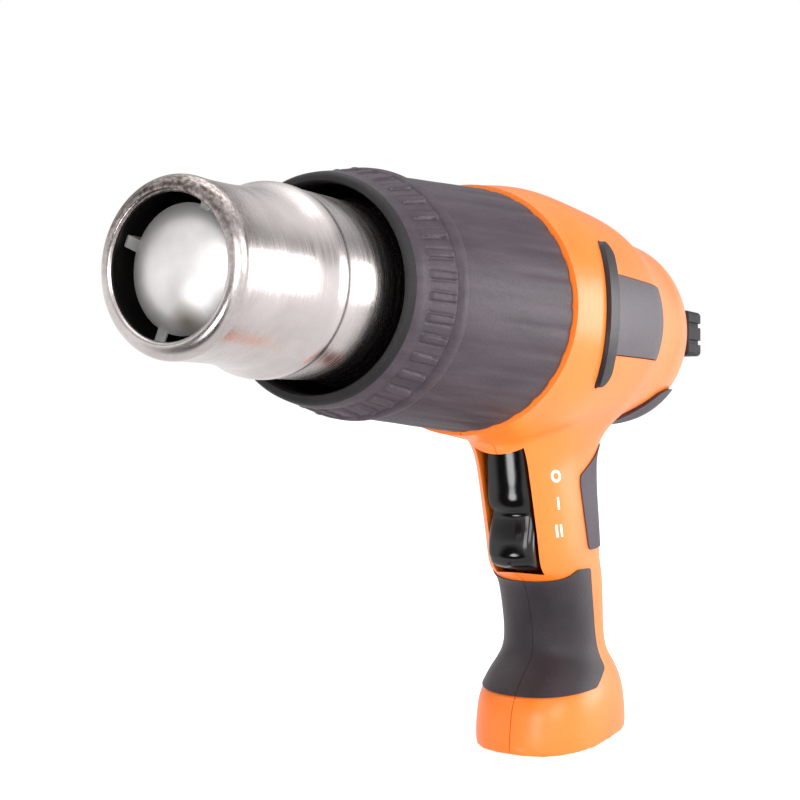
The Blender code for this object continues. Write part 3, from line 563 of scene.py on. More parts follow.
def dome_stainless(colours):
    """Pressed stainless, dulled by heat: satin, with a small straw-coloured burn low down."""
    material, tree, place = blank("satin_pressed_stainless_steel")
    fine = add(tree, "ShaderNodeTexNoise", grain_of(0.3, 3.0), {"Vector": place})["Fac"]
    spot = at(1.8, -2.0, -10.2)
    reach = add(tree, "ShaderNodeVectorMath", {"operation": "DISTANCE", 1: spot}, {0: place})["Value"]
    limits = span(0.75, 0.0, 0.6 * MM, 4.5 * MM)
    burn = add(tree, "ShaderNodeMapRange", limits, {"Value": reach})["Result"]
    dull = [0.88 * c for c in colours.dome]
    metal = clouded(tree, place, 6.0, 3.0, dull, colours.dome)
    shade = add(tree, "ShaderNodeMix", blend_of(dull, "#86735f"), {0: burn, 6: metal})[2]
    depth = {"Strength": 0.12, "Distance": 0.06 * MM}
    relief = add(tree, "ShaderNodeBump", depth, {"Height": fine})["Normal"]
    gloss = add(tree, "ShaderNodeMapRange", span(0.40, 0.50), {"Value": fine})["Result"]
    surfaced(tree, {"Metallic": 0.8}, {"Base Color": shade, "Roughness": gloss, "Normal": relief})
    return material


def grip_rubber(colours):
    """Overmoulded elastomer: near black, dull, with a leathery grain and a soft sheen at the edges."""
    material, tree, place = blank("overmoulded_elastomer")
    cell = {"Scale": 1.0 / (0.9 * MM), "feature": "F1"}
    cells = add(tree, "ShaderNodeTexVoronoi", cell, {"Vector": place})["Distance"]
    fine = add(tree, "ShaderNodeTexNoise", grain_of(0.4, 2.0), {"Vector": place})["Fac"]
    shade = clouded(tree, place, 9.0, 3.0, [0.55 * c for c in colours.grip], colours.grip)
    depth = {"Strength": 0.30, "Distance": 0.1 * MM}
    relief = add(tree, "ShaderNodeBump", depth, {"Height": cells})["Normal"]
    gloss = add(tree, "ShaderNodeMapRange", span(0.50, 0.62), {"Value": fine})["Result"]
    settings = {"IOR": 1.5, "Sheen Weight": 0.15, "Sheen Roughness": 0.5}
    surfaced(tree, settings, {"Base Color": shade, "Roughness": gloss, "Normal": relief})
    return material


def gloss_black():
    """Polished black ABS: deep and wet-looking, with hairline rubs that only break up the highlights."""
    material, tree, place = blank("polished_black_abs")
    drawn = stretched(tree, place, 1.0, 1.0, 6.0)
    rubs = add(tree, "ShaderNodeTexNoise", grain_of(1.2, 5.0), {"Vector": drawn})["Fac"]
    shade = clouded(tree, place, 8.0, 2.0, "#070608", "#0c0a0d")
    gloss = add(tree, "ShaderNodeMapRange", span(0.09, 0.17), {"Value": rubs})["Result"]
    surfaced(tree, {"IOR": 1.54}, {"Base Color": shade, "Roughness": gloss})
    return material


# What shows through the vents and the nozzle: each part's usual stock, with its own sheen and grain.
INNER_FINISHES = {
    # slot: darker and lighter colour, roughness, metallic, grain in mm
    "black_plastic": ("#262427", "#322f33", 0.55, 0.0, 0.4),
    "mica": ("#8f7c5c", "#a8946f", 0.55, 0.0, 1.2),
    "resistance_wire": ("#4c4846", "#635e5b", 0.42, 1.0, 0.3),
    "ceramic": ("#dcd5c6", "#e9e4d8", 0.75, 0.0, 0.6),
    "tinned_brass": ("#c2b690", "#d6cba8", 0.34, 1.0, 0.3),
    "zinc_steel": ("#a3a3a8", "#bdbdc2", 0.32, 1.0, 0.25),
    "cream_plastic": ("#d6ccb6", "#e2dac6", 0.5, 0.0, 0.5),
    "magnet": ("#2b2b2e", "#39393c", 0.65, 0.0, 0.3),
    "bronze": ("#a07b45", "#b89158", 0.45, 1.0, 0.2),
    "copper": ("#a4582c", "#c47a4c", 0.35, 1.0, 0.35),
    "carbon": ("#252526", "#2f2f31", 0.5, 0.2, 0.2),
    "board": ("#76583a", "#8a6a46", 0.5, 0.0, 0.5),
    "capacitor_case": ("#bfa02e", "#cfb33e", 0.3, 0.0, 0.8),
    "wire_blue": ("#24488f", "#2f56a3", 0.45, 0.0, 0.5),
    "wire_brown": ("#5a2f1b", "#6c3b24", 0.45, 0.0, 0.5),
    "black_rubber": ("#1b1a1c", "#262427", 0.68, 0.0, 0.5),
}


# ---- What a user would change ----


class HotAirGunSizes(bpy.types.PropertyGroup):
    parting_gap: FloatProperty(
        name="Parting gap",
        description="Width of the line between the two shells",
        default=0.22 * MM,
        min=0.0,
        unit="LENGTH",
    )
    shroud_ribs: IntProperty(
        name="Guard ribs", description="Small ribs round the guard's front ring", default=36, min=6
    )
    shroud_flutes: IntProperty(
        name="Guard flutes", description="Shallow flutes along the guard's sleeve", default=30, min=6
    )
    flute_depth: FloatProperty(
        name="Flute depth",
        description="How deep the flutes are at the guard's rear edge",
        default=0.24 * MM,
        min=0.0,
        unit="LENGTH",
    )
    rocker_edge: FloatProperty(
        name="Rocker edge",
        description="Radius of the rocker's long edges",
        default=2.8 * MM,
        min=0.0,
        unit="LENGTH",
    )
    mark_height: FloatProperty(
        name="Mark height",
        description="Height of the switch's position marks",
        default=3.8 * MM,
        min=0.001,
        unit="LENGTH",
    )


class HotAirGunColours(bpy.types.PropertyGroup):
    housing: FloatVectorProperty(
        name="Housing",
        description="Orange of the housing",
        subtype="COLOR",
        default=linear("#f88530")[:3],
        min=0.0,
        max=1.0,
    )
    housing_dark: FloatVectorProperty(
        name="Housing, deeper",
        description="The orange's deeper tone",
        subtype="COLOR",
        default=linear("#f3761f")[:3],
        min=0.0,
        max=1.0,
    )
    shroud: FloatVectorProperty(
        name="Guard",
        description="Charcoal of the guard",
        subtype="COLOR",
        default=linear("#3d323b")[:3],
        min=0.0,
        max=1.0,
    )
    steel: FloatVectorProperty(
        name="Nozzle",
        description="Colour of the nozzle's steel",
        subtype="COLOR",
        default=linear("#f1e8e6")[:3],
        min=0.0,
        max=1.0,
    )
    dome: FloatVectorProperty(
        name="Deflector",
        description="Colour of the deflector's steel",
        subtype="COLOR",
        default=linear("#faf7f6")[:3],
        min=0.0,
        max=1.0,
    )
    grip: FloatVectorProperty(
        name="Grip",
        description="Colour of the soft grip",
        subtype="COLOR",
        default=linear("#2d232b")[:3],
        min=0.0,
        max=1.0,
    )


# ---- Pieces ----


def gun_body():
    """The housing's outside, with the handle flowing into the barrel."""
    body = fused(gathered([barrel(BARREL), handle(HANDLE)]), 1.0)
    relaxed(body, body.verts, 3)
    low, high = at(126, 0, -46), at(228, 0, -22)
    root = [v for v in body.verts if low.z < v.co.z < high.z and low.x < v.co.x < high.x]
    relaxed(body, root, 24)
    body.normal_update()
    return body


def arc_slab(side, grow):
    """The curved bar's side view, given depth."""
    along, up = ARC_CENTRE
    half_angle = math.radians(32)
    half_width = ARC_HALF_WIDTH + grow
    outline = []
    for edge, first, last in ((half_width, -1, 1), (-half_width, 1, -1)):
        for i in range(25):
            turn = half_angle * (first + (last - first) * i / 24)
            reach = ARC_RADIUS + edge
            outline.append((along - reach * math.cos(turn), up + reach * math.sin(turn)))
        tip = half_angle * last
        for i in range(1, 12):
            bend = math.pi * i / 12
            reach = ARC_RADIUS + edge * math.cos(bend)
            past = half_width * math.sin(bend) * last
            outline.append(
                (
                    along - reach * math.cos(tip) + past * math.sin(tip),
                    up + reach * math.sin(tip) + past * math.cos(tip),
                )
            )
    return slab(outline, side)


def panel_slab(side, grow):
    """The blank panel's side view, given depth."""
    up = ARC_CENTRE[1]
    rear = 189.5 + grow
    half = 11.2 + grow
    outline = (
        (139.0, up - half),
        (rear, up - half),
        (rear + 0.6, up - half / 2),
        (rear + 1.0, up),
        (rear + 0.6, up + half / 2),
        (rear, up + half),
        (139.0, up + half),
    )
    return slab(outline, side)


def side_limits(side, near, far):
    return tuple(sorted((side * near, side * far)))


class HOTAIR_OT_housing(bpy.types.Operator):
    """Makes the two orange shells and the soft and hard inlays set into them"""

    bl_idname = "hotair.housing"
    bl_label = "Housing and inlays"

    def execute(self, context):
        sizes = context.scene.hotair_sizes
        colours = context.scene.hotair_colours
        body = gun_body()
        self.marks(body, sizes)
        orange = orange_nylon(colours)
        rubber = grip_rubber(colours)
        # A dry-looking rubber with a fine grain, then two moulded plastics with a low, even shine.
        grey_rubber = grained("grey_elastomer", "#433a43", "#4f4550", 0.6, 0.5, 0.3)
        bar = grained("satin_dark_polycarbonate", "#1e191d", "#272126", 0.42, 0.5, 0.1)
        panel = grained("satin_grey_polycarbonate", "#4c444b", "#554c54", 0.42, 0.5, 0.1)
        recesses = {"left": [], "right": []}
        for word, side in (("left", -1), ("right", 1)):
            reach = side_limits(side, 20, 45)
            raised = inlay(body, arc_slab(reach, 0.0), BAR_HEIGHT, 1.1)
            field = carve(panel_slab(reach, 0.0), [("DIFFERENCE", arc_slab(reach, 0.1))])
            field = inlay(body, field, 0.3, 1.1)
            for face in field.faces:
                face.material_index = 1
            plate = gathered([raised, field])
            piece(f"plate_{word}", plate, "tool", [f"side_plate_{word}"], "dark_plate", bar, panel)
            room = carve(arc_slab(reach, INLAY_GAP), [("UNION", panel_slab(reach, INLAY_GAP))])
            recesses[word].append(recess(body, room, 1.4))

            reach, wide = side_limits(side, 0.1, 45), side_limits(side, -1, 45)
            for kind, outline, finish, slot in (
                ("grip", GRIP, rubber, "soft_grip"),
                ("rear_pad", REAR_PAD, grey_rubber, "soft_pad"),
            ):
                pad = inlay(body, slab(outline, reach, PAD_CORNER), 0.5, 1.2)
                piece(f"{kind}_pad_{word}", pad, "tool", [f"{kind}_{word}"], slot, finish)
                room = slab(outline, wide, PAD_CORNER, INLAY_GAP)
                recesses[word].append(recess(body, room, 1.5))

        foot = inlay(body, slab(FOOT, (-45, 45), 1.0), 1.2, 1.0)
        piece("foot_pad", foot, "tool", ["rear_foot"], "soft_pad", grey_rubber)
        foot_room = recess(body, slab(FOOT, (-46, 46), 1.0, INLAY_GAP), 1.3)
        recesses["left"].append(foot_room.copy())
        recesses["right"].append(foot_room)
        self.shells(body, recesses, sizes.parting_gap / MM, orange)
        return {"FINISHED"}

    def shells(self, body, recesses, gap, orange):
        """The hollow shells, which meet in a groove, with all that is cut from them."""
        groove = recess(body, block((-40, 300), (-gap / 2, gap / 2), (-160, 60)), GROOVE_DEPTH)
        room = [(max(up, BASE_UP + WALL), *rest) for up, *rest in HANDLE]
        along, up = ROCKER_PIVOT
        half_window = ROCKER_HALF_WIDTH + ROCKER_PLAY
        window = post((along, -half_window, up), (along, half_window, up), ROCKER_REACH + 0.7, 128)
        bosses = [post((a, -s + 1.2, u), (a, s - 1.2, u), BOSS_RADIUS) for a, u, s in SCREWS]
        vents = [block((246, 264), (-11, 11), (u - 0.9, u + 0.9)) for u in VENTS]
        front = spun(((100, COLLAR_RADIUS), (120.6, COLLAR_RADIUS), (120.6, 60), (100, 60)), 96)
        hollow = carve(
            body,
            [
                ("DIFFERENCE", barrel(BARREL_ROOM, 64, 2)),
                ("DIFFERENCE", handle(room, -WALL, 64, 2)),
                ("UNION", gathered(bosses)),
                ("DIFFERENCE", front),
                ("DIFFERENCE", window),
                ("DIFFERENCE", block((249.7, 275), (-25, 25), (-8.3, 8.3))),
                ("DIFFERENCE", gathered(vents)),
                ("DIFFERENCE", post((190, 0, -140), (190, 0, -120), 6.3)),
            ],
        )
        sinks = [post((a, s - 4.3, u), (a, 45, u), SINK_RADIUS) for a, u, s in SCREWS]
        bores = [post((a, -10.3, u), (a, s, u), BORE_RADIUS) for a, u, s in SCREWS]
        for word, side in (("left", -1), ("right", 1)):
            half = block((-40, 300), side_limits(side, TOUCH, 60), (-160, 60))
            steps = [("INTERSECT", half), ("DIFFERENCE", groove.copy())]
            steps += [("DIFFERENCE", shape) for shape in recesses[word]]
            if side > 0:
                steps.append(("DIFFERENCE", gathered(sinks)))
            steps.append(("DIFFERENCE", gathered([b.copy() for b in bores])))
            shell = carve(hollow.copy(), steps)
            piece(f"shell_{word}", shell, "tool", [f"housing_{word}"], "orange_shell", orange)
        for shape in (hollow, groove, *bores):
            shape.free()

    def marks(self, body, sizes):
        """The switch's marks: a ring, one bar and two bars, printed on the handle's left side."""
        tree = BVHTree.FromBMesh(body)
        height = sizes.mark_height / MM
        # Ink laid on by a soft pad: flat, opaque and a touch duller than the nylon under it.
        ink = grained("white_pad_print", "#f3f1ef", "#fbfaf9", 0.5, 0.2, 0.05)
        stroke, bar_width = 0.85, 0.75
        for name, place, shapes in (
            ("mark_ring", (157.7, -47.1), ("ring",)),
            ("mark_bar", (159.7, -55.3), (0.0,)),
            ("mark_bars", (161.1, -63.6), (-0.8, 0.8)),
        ):
            parts = []
            for shape in shapes:
                bm = bmesh.new()
                if shape == "ring":
                    for radius in (height / 2, height / 2 - stroke):
                        bmesh.ops.create_circle(bm, segments=40, radius=radius)
                    bmesh.ops.bridge_loops(bm, edges=bm.edges[:])
                else:
                    bmesh.ops.create_grid(
                        bm,
                        x_segments=2,
                        y_segments=8,
                        size=0.5,
                        matrix=Matrix.Translation((shape, 0.0, 0.0))
                        @ Matrix.Diagonal((bar_width, height, 1.0, 1.0)),
                    )
                parts.append(bm)
            flat = gathered(parts)
            for vert in flat.verts:
                x, y, _ = vert.co
                lean = -math.tan(ROCKER_RAKE) * y
                start = at(place[0] + x * 1.15 + lean, -60.0, place[1] + y)
                hit, normal, _, _ = tree.ray_cast(start, Vector((0.0, 1.0, 0.0)))
                if hit is None:
                    raise RuntimeError("a switch mark misses the handle")
                vert.co = hit + normal * (0.06 * MM)
            flat.normal_update()
            if sum(f.normal.y * f.calc_area() for f in flat.faces) > 0:
                bmesh.ops.reverse_faces(flat, faces=flat.faces)
            bmesh.ops.solidify(flat, geom=flat.faces[:], thickness=0.1 * MM)
            piece(name, outwards(flat), "tool", (), "orange_shell", ink)


class HOTAIR_OT_bumper(bpy.types.Operator):
    """Makes the grooved rubber block at the gun's rear end"""

    bl_idname = "hotair.bumper"
    bl_label = "Rear bumper"

    def execute(self, context):
        bumper = block((250, 266), (-24.7, 24.7), (-8, 8), 1.5, 4)
        grooves = []
        for up in (-3.1, 3.1):
            ring = block((251, 270), (-30, 30), (up - 0.85, up + 0.85))
            core = block((240, 265), (-23.7, 23.7), (up - 1.5, up + 1.5))
            grooves.append(carve(ring, [("DIFFERENCE", core)]))
        bumper = carve(bumper, [("DIFFERENCE", gathered(grooves))])
        dull = {"Specular IOR Level": 0.3}  # rubber with a dusty bloom hardly shines
        rubber = grained("moulded_black_rubber", "#171318", "#211c22", 0.62, 0.6, 0.25, **dull)
        piece("bumper_block", bumper, "tool", ["rear_bumper"], "black_rubber", rubber)
        return {"FINISHED"}


# The guard's outside behind its bead, its ring and its bore: along, radius.
SLEEVE = (
    (68.8, 28.75), (72.0, 29.25), (77.0, 29.9), (84.0, 30.55), (92.0, 31.2), (102.0, 32.1),
    (112.0, 32.9), (118.6, 33.5), (119.8, 33.5), (120.2, 33.2),
)
RING = (
    (47.0, 24.9), (47.3, 25.7), (48.4, 26.4), (50.0, 26.8), (52.2, 27.25), (52.8, 26.95),
    (54.0, 27.2), (57.0, 27.9), (60.0, 28.5), (62.4, 28.95), (63.2, 29.0), (63.5, 29.5),
    (64.2, 29.9), (65.6, 30.05), (67.2, 29.95), (68.0, 29.6), (68.4, 28.9),
)
BORE = (
    (120.2, 31.0), (107.4, 31.0), (106.0, 30.3), (92.0, 29.2), (77.0, 27.9), (64.6, 27.0),
    (50.0, 24.0), (47.4, 24.0), (47.0, 24.3),
)


RIBS = (53.2, 62.6)  # where they start and end
RIB_RISE, RIB_MOAT, RIB_BEAD = 0.45, 0.18, 0.3
RIB_BEAD_AT = 61.3
FLUTES = (70, 118)  # where they start and are deepest


def between(rows, x):
    """The second value of a table of pairs at x, in straight lines."""
    for (x0, y0), (x1, y1) in zip(rows, rows[1:]):
        if x0 <= x <= x1:
            return y0 + (y1 - y0) * (x - x0) / (x1 - x0)
    return rows[-1][1] if x > rows[-1][0] else rows[0][1]


def ramp(x, low, high):
    """0 below low, 1 above high, and smooth between them."""
    t = min(1.0, max(0.0, (x - low) / (high - low)))
    return t * t * (3 - 2 * t)


class HOTAIR_OT_shroud(bpy.types.Operator):
    """Makes the pull-off guard, with its ribbed ring, its bead and its fluted sleeve"""

    bl_idname = "hotair.shroud"
    bl_label = "Heat guard"

    def execute(self, context):
        sizes = context.scene.hotair_sizes
        first, last = RIBS
        places = [first + 0.7 * i for i in range(14)]
        ring = sorted(set(RING) | {(along, between(RING, along)) for along in places})
        outer = ring + smooth(SLEEVE[:-3], 3)[:-1] + list(SLEEVE[-3:])
        bm = spun([*outer, *BORE], 720)
        flutes, ribs, depth = sizes.shroud_flutes, sizes.shroud_ribs, sizes.flute_depth
        for vert in bm.verts:
            offset = vert.co - TIP
            along = offset.x / MM
            radius = math.hypot(offset.y, offset.z)
            if abs(radius / MM - between(outer, along)) > 0.2:
                continue
            angle = math.atan2(offset.z, offset.y)
            change = 0.0
            if along > FLUTES[0]:
                wave = 0.5 + 0.5 * math.cos(flutes * angle)
                change = -depth * ramp(along, *FLUTES) * wave**3
            elif first - 0.2 < along < last + 0.3:
                turn = (angle * ribs / (2 * math.pi)) % 1.0 - 0.5
                width = abs(turn) * 2 * math.pi / ribs * radius / MM
                rise = 1 - ramp(width, 0.65, 0.95)
                ends = ramp(along, first, first + 0.8) * (1 - ramp(along, last - 0.8, last))
                bead = 1 - ramp(math.hypot(width, along - RIB_BEAD_AT), 0.5, 1.1)
                moat = ramp(width, 0.8, 1.1) * (1 - ramp(width, 1.2, 1.7))
                change = ((RIB_RISE * rise - RIB_MOAT * moat) * ends + RIB_BEAD * bead) * MM
            scale = (radius + change) / radius
            vert.co = TIP + Vector((offset.x, offset.y * scale, offset.z * scale))
        # The lip's front (ahead of 48 mm) and the bore get the second material, a painted shade.
        for face in bm.faces:
            face.material_index = int(face.calc_center_median().x < at(48.0, 0, 0).x)
        for face, _ in inner_faces(bm, 0.3):
            face.material_index = 1
        nylon = shroud_nylon(context.scene.hotair_colours)
        # The lip's front and the bore are painted near black as shade, so they look darker than the sleeve.
        painted_shade_nylon = grained("painted_shade_black_nylon", "#131012", "#1c181b", 0.6, 0.5, 0.3, blotch=6.0)
        piece("guard", bm, "shroud", ["heat_shroud"], "black_plastic", nylon, painted_shade_nylon, sharp=50.0)
        return {"FINISHED"}


# The nozzle from its step at the rear, over its outside, round the rim and back inside it.
NOZZLE = (
    (60.5, 22.0), (59.0, 21.9), (57.3, 21.3), (55.5, 20.8), (53.0, 20.7), (42.0, 20.7),
    (31.5, 20.7), (29.6, 20.95), (28.0, 21.0), (26.6, 20.85), (25.2, 20.4), (22.0, 19.3),
    (19.0, 18.75), (14.0, 18.2), (8.0, 18.0), (4.0, 17.95), (1.4, 18.0), (0.0, 18.05), (-0.9, 17.8),
    (-1.7, 17.2), (-2.25, 16.4), (-LIP, 15.5), (-2.45, 14.9), (-2.1, 14.5), (-1.5, 14.4),
    (-0.9, 14.7), (0.0, 15.7), (2.0, 16.7), (8.0, 17.0), (14.0, 17.2), (19.0, 17.8), (22.0, 18.4),
    (25.5, 19.5), (28.0, 19.9), (55.5, 19.9), (59.0, 21.1), (60.5, 21.1),
)


class HOTAIR_OT_nozzle(bpy.types.Operator):
    """Makes the stepped steel tube with its rolled rim, and the domed deflector in its mouth"""

    bl_idname = "hotair.nozzle"
    bl_label = "Nozzle and deflector"

    def execute(self, context):
        colours = context.scene.hotair_colours
        profile = [(112.0, 27.6), (110.8, 27.6), (110.8, 22.4), (110.4, 22.05), (84.0, 22.0)]
        profile += smooth(NOZZLE, 3)
        profile += [(84.0, 21.1), (112.0, 21.1)]
        tube = spun(profile, 160)
        for face, along in inner_faces(tube, 0.2):
            face.material_index = int(along > -1.9)
        # Inside, oxide has turned the steel nearly black and matt.
        soot = grained("heat_blackened_steel", "#0d0b0b", "#1b1615", 0.62, 0.4, 0.2, 0.4, 5.0)
        steel = brushed_stainless(colours)
        piece("nozzle_skin", tube, "tool", ["nozzle_tube"], "nozzle_steel", steel, soot, sharp=40.0)

        outer, apex, wall = 21.0, -1.5, 0.8  # the dome's ball radius, its tip and its thickness
        turns = [math.asin(13.0 / outer) * i / 14 for i in range(15)]
        profile = []
        for radius, row in ((outer - wall, turns), (outer, reversed(turns))):
            profile += [(apex + outer - radius * math.cos(t), radius * math.sin(t)) for t in row]
        dome = spun(profile, 96, closed=False)
        straps = []
        for quarter in range(4):
            arm = block((2.7, 3.3), (11.8, 16.1), (-1.25, 1.25), 0.12, 2)
            foot = block((2.7, 11.0), (15.5, 16.2), (-1.25, 1.25), 0.12, 2)
            strap = carve(arm, [("UNION", foot)])
            turn = Matrix.Rotation(math.radians(STRAP_LEAN + 90 * quarter), 4, "X")
            bmesh.ops.transform(strap, matrix=shift() @ turn @ shift().inverted(), verts=strap.verts)
            straps.append(strap)
        dome = carve(dome, [("UNION", gathered(straps))])
        piece(
            "deflector_dome", dome, "tool", ["deflector"], "dome_steel", dome_stainless(colours), sharp=40.0
        )
        return {"FINISHED"}


# The rocker's pressed face: down the handle from its pin, and out of the handle.
ROCKER_FACE = (
    (-19.4, 10.2), (-18.4, 11.0), (-16.0, 11.3), (-9.0, 11.9), (-3.5, 12.7), (-0.5, 12.4),
    (1.8, 11.4), (4.2, 12.4), (7.0, 14.0), (9.5, 15.3), (12.0, 16.1), (13.6, 16.3), (14.8, 15.9),
)


def rocker_point(down, out):
    """A place given by its distances down the handle's front and out of it from the pin."""
    along, up = ROCKER_PIVOT
    sine, cosine = math.sin(ROCKER_RAKE), math.cos(ROCKER_RAKE)
    return (along + down * sine - out * cosine, up - down * cosine - out * sine)


class HOTAIR_OT_rocker(bpy.types.Operator):
    """Makes the glossy switch rocker with its long upper and raised lower lobe"""

    bl_idname = "hotair.rocker"
    bl_label = "Switch rocker"

    def execute(self, context):
        outline = [rocker_point(down, out) for down, out in smooth(ROCKER_FACE, 3)]
        for degrees in range(44, 18, -4):
            turn = math.radians(degrees)
            outline.append(rocker_point(ROCKER_REACH * math.cos(turn), ROCKER_REACH * math.sin(turn)))
        for down, out in ((10.0, 0.5), (4.0, -3.2), (-4.0, -3.2), (-10.0, 0.5)):
            outline.append(rocker_point(down, out))
        for degrees in (165, 161, 157, 154):
            turn = math.radians(degrees)
            outline.append(rocker_point(22.1 * math.cos(turn), 22.1 * math.sin(turn)))
        width = (-ROCKER_HALF_WIDTH, ROCKER_HALF_WIDTH)
        rocker = slab(outline, width)
        rims = [e for e in rocker.edges if abs(e.verts[0].co.y - e.verts[1].co.y) < 0.1 * MM]
        round_edges(rocker, rims, context.scene.hotair_sizes.rocker_edge / MM, 5)
        for side in (-4.8, -3.6, -2.4, -1.2, 0.0, 1.2, 2.4, 3.6, 4.8):
            bmesh.ops.bisect_plane(
                rocker,
                geom=rocker.verts[:] + rocker.edges[:] + rocker.faces[:],
                plane_co=at(0.0, side, 0.0),
                plane_no=(0.0, 1.0, 0.0),
            )
        out_of_handle = Vector((-math.cos(ROCKER_RAKE), 0.0, -math.sin(ROCKER_RAKE)))
        pin = at(ROCKER_PIVOT[0], 0.0, ROCKER_PIVOT[1])
        for vert in rocker.verts:
            reach = (vert.co - pin).dot(out_of_handle) / MM
            across = abs(vert.co.y) / MM / ROCKER_HALF_WIDTH
            vert.co -= out_of_handle * (ramp(reach, 2.0, 9.0) * 1.9 * across**2 * MM)
        along, up = ROCKER_PIVOT
        rocker = carve(rocker, [("DIFFERENCE", post((along, -10, up), (along, 10, up), 1.35))])
        piece("rocker", rocker, "rocker", ["switch_rocker"], "gloss_black", gloss_black(), sharp=40.0)
        return {"FINISHED"}


class HOTAIR_OT_inner_finishes(bpy.types.Operator):
    """Gives the screws, motor, fan, heater, switch and wiring their own finishes"""

    bl_idname = "hotair.inner_finishes"
    bl_label = "Inner finishes"

    def execute(self, context):
        made = {}
        slots = {row["node"]: row["material_slot"] for row in frame["record"]["subparts"]}
        for name, node in frame["nodes"].items():
            slot = slots[name]
            if slot not in INNER_FINISHES:
                continue
            if slot not in made:
                dark, light, roughness, metallic, grain = INNER_FINISHES[slot]
                made[slot] = grained(
                    "inner_" + slot, dark, light, roughness, grain, 0.15, metallic, blotch=6.0
                )
            node.material_slots[0].material = made[slot]
        return {"FINISHED"}


# The room round the gun: sine of the height above the horizon, brightness. The paper's horizon is
# white, and the darker band above it gives the steel its stripes.
ROOM_LIGHT = (
    (-1.0, 0.75), (-0.50, 0.80), (-0.28, 0.95), (0.15, 1.0), (0.32, 0.50), (0.46, 0.34),
    (0.65, 0.75), (0.85, 1.0),
)
# Round patches in the room: direction, degrees from it that the patch fills and that it fades out by,
# how fully it covers, brightness. The switch's polished face mirrors the dark one, with the bright one
# in it.
ROOM_PATCHES = (
    ((-0.85, 0.20, -0.487), 26, 38, 0.96, 0.0),
    ((-0.913, 0.120, -0.390), 6, 10, 1.0, 10.0),
)


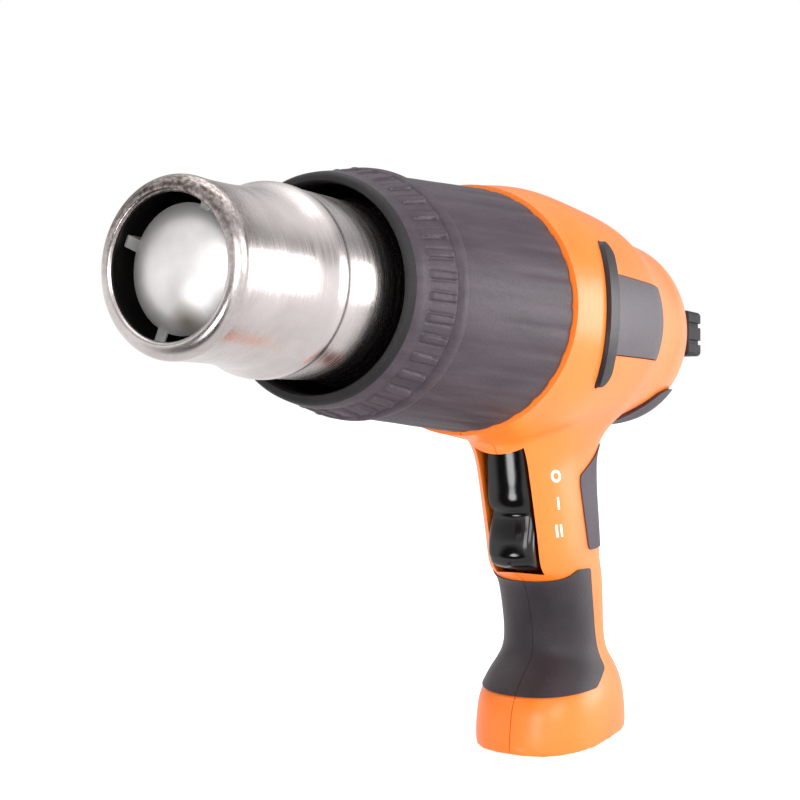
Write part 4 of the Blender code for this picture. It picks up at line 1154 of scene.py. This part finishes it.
class HOTAIR_OT_stage(bpy.types.Operator):
    """Makes the pale floor, the soft lights and the camera"""

    bl_idname = "hotair.stage"
    bl_label = "Stage, lights and camera"

    def execute(self, context):
        scene = context.scene
        bm = bmesh.new()
        bmesh.ops.create_circle(bm, cap_ends=True, segments=96, radius=12.0)
        mesh = bpy.data.meshes.new("floor")
        bm.to_mesh(mesh)
        bm.free()
        # Matt paper, lit a little from within so that it stays white out to its far edge.
        paper = {"Emission Color": (1.0, 1.0, 1.0, 1.0), "Emission Strength": 0.6}
        mesh.materials.append(
            grained("white_paper", "#e9e9e9", "#ededed", 0.9, 2.0, 0.02, blotch=300.0, **paper)
        )
        floor = bpy.data.objects.new("floor", mesh)
        floor.visible_glossy = False
        scene.collection.objects.link(floor)

        world = bpy.data.worlds.new("studio")
        world.use_nodes = True
        tree = world.node_tree
        tree.nodes.clear()
        sky = add(tree, "ShaderNodeTexCoord")["Generated"]
        height = add(tree, "ShaderNodeSeparateXYZ", links={"Vector": sky})["Z"]
        place = add(tree, "ShaderNodeMapRange", span(0.0, 1.0, -1.0, 1.0), {"Value": height})["Result"]
        room = add(tree, "ShaderNodeValToRGB", links={"Fac": place})["Color"]
        ramp_stops = room.node.color_ramp.elements
        while len(ramp_stops) < len(ROOM_LIGHT):
            ramp_stops.new(0.5)
        for stop, (sine, level) in zip(ramp_stops, ROOM_LIGHT):
            stop.position = (sine + 1) / 2
            stop.color = (level, level, level, 1.0)
        for direction, inner, outer, full, level in ROOM_PATCHES:
            settings = {"operation": "DOT_PRODUCT", 1: direction}
            towards = add(tree, "ShaderNodeVectorMath", settings, {0: sky})["Value"]
            edge = span(0.0, full, math.cos(math.radians(outer)), math.cos(math.radians(inner)))
            share = add(tree, "ShaderNodeMapRange", edge, {"Value": towards})["Result"]
            patch = blend_of("#000000", (level, level, level))
            room = add(tree, "ShaderNodeMix", patch, {0: share, 6: room})[2]
        seen = add(tree, "ShaderNodeLightPath")["Is Camera Ray"]
        room = add(tree, "ShaderNodeMix", blend_of("#000000", "#ffffff"), {0: seen, 6: room})[2]
        glow = add(tree, "ShaderNodeBackground", {"Strength": 1.0}, {"Color": room})
        add(tree, "ShaderNodeOutputWorld", links={"Surface": glow["Background"]})
        scene.world = world
        scene.view_settings.view_transform = "Standard"

        target = at(110, 0, -10)
        for name, place, size, power in (
            ("key", (-0.35, -1.05, 0.45), 0.6, 4.5),
            ("front", (-1.0, -0.5, 0.25), 0.5, 4.0),
            ("top", (0.0, 0.0, 1.2), 0.9, 3.5),
            ("side", (0.75, -0.75, 0.2), 0.5, 4.0),
        ):
            light = bpy.data.lights.new(name, "AREA")
            light.shape = "SQUARE"
            light.size = size
            light.energy = power
            lamp = bpy.data.objects.new(name, light)
            lamp.location = place
            lamp.rotation_euler = (target - Vector(place)).to_track_quat("-Z", "Y").to_euler()
            scene.collection.objects.link(lamp)

        camera = bpy.data.objects.new("camera", bpy.data.cameras.new("camera"))
        camera.data.sensor_width = 36.0
        camera.data.lens = 56.25
        camera.data.clip_start = 0.01
        camera.location = at(-186.48, -157.14, -27.0)
        camera.rotation_euler = (math.radians(90.38), 0.0, math.radians(-60.12))
        scene.collection.objects.link(camera)
        scene.camera = camera
        return {"FINISHED"}


class HOTAIR_PT_panel(bpy.types.Panel):
    """Lists the pieces that can be made"""

    bl_idname = "HOTAIR_PT_panel"
    bl_label = "Hot-air gun"
    bl_space_type = "VIEW_3D"
    bl_region_type = "UI"
    bl_category = "Hot-air gun"

    def draw(self, context):
        for group in (context.scene.hotair_sizes, context.scene.hotair_colours):
            for name in group.__annotations__:
                self.layout.prop(group, name)
        for operator in OPERATORS:
            self.layout.operator(operator.bl_idname)


OPERATORS = (
    HOTAIR_OT_housing,
    HOTAIR_OT_bumper,
    HOTAIR_OT_shroud,
    HOTAIR_OT_nozzle,
    HOTAIR_OT_rocker,
    HOTAIR_OT_inner_finishes,
    HOTAIR_OT_stage,
)
CLASSES = (HotAirGunSizes, HotAirGunColours, *OPERATORS, HOTAIR_PT_panel)


def register():
    for cls in CLASSES:
        bpy.utils.register_class(cls)
    bpy.types.Scene.hotair_sizes = PointerProperty(type=HotAirGunSizes)
    bpy.types.Scene.hotair_colours = PointerProperty(type=HotAirGunColours)


def unregister():
    del bpy.types.Scene.hotair_sizes
    del bpy.types.Scene.hotair_colours
    for cls in reversed(CLASSES):
        bpy.utils.unregister_class(cls)


def main():
    register()
    for operator in (
        bpy.ops.hotair.housing,
        bpy.ops.hotair.bumper,
        bpy.ops.hotair.shroud,
        bpy.ops.hotair.nozzle,
        bpy.ops.hotair.rocker,
        bpy.ops.hotair.inner_finishes,
        bpy.ops.hotair.stage,
    ):
        operator()


if __name__ == "__main__":
    main()
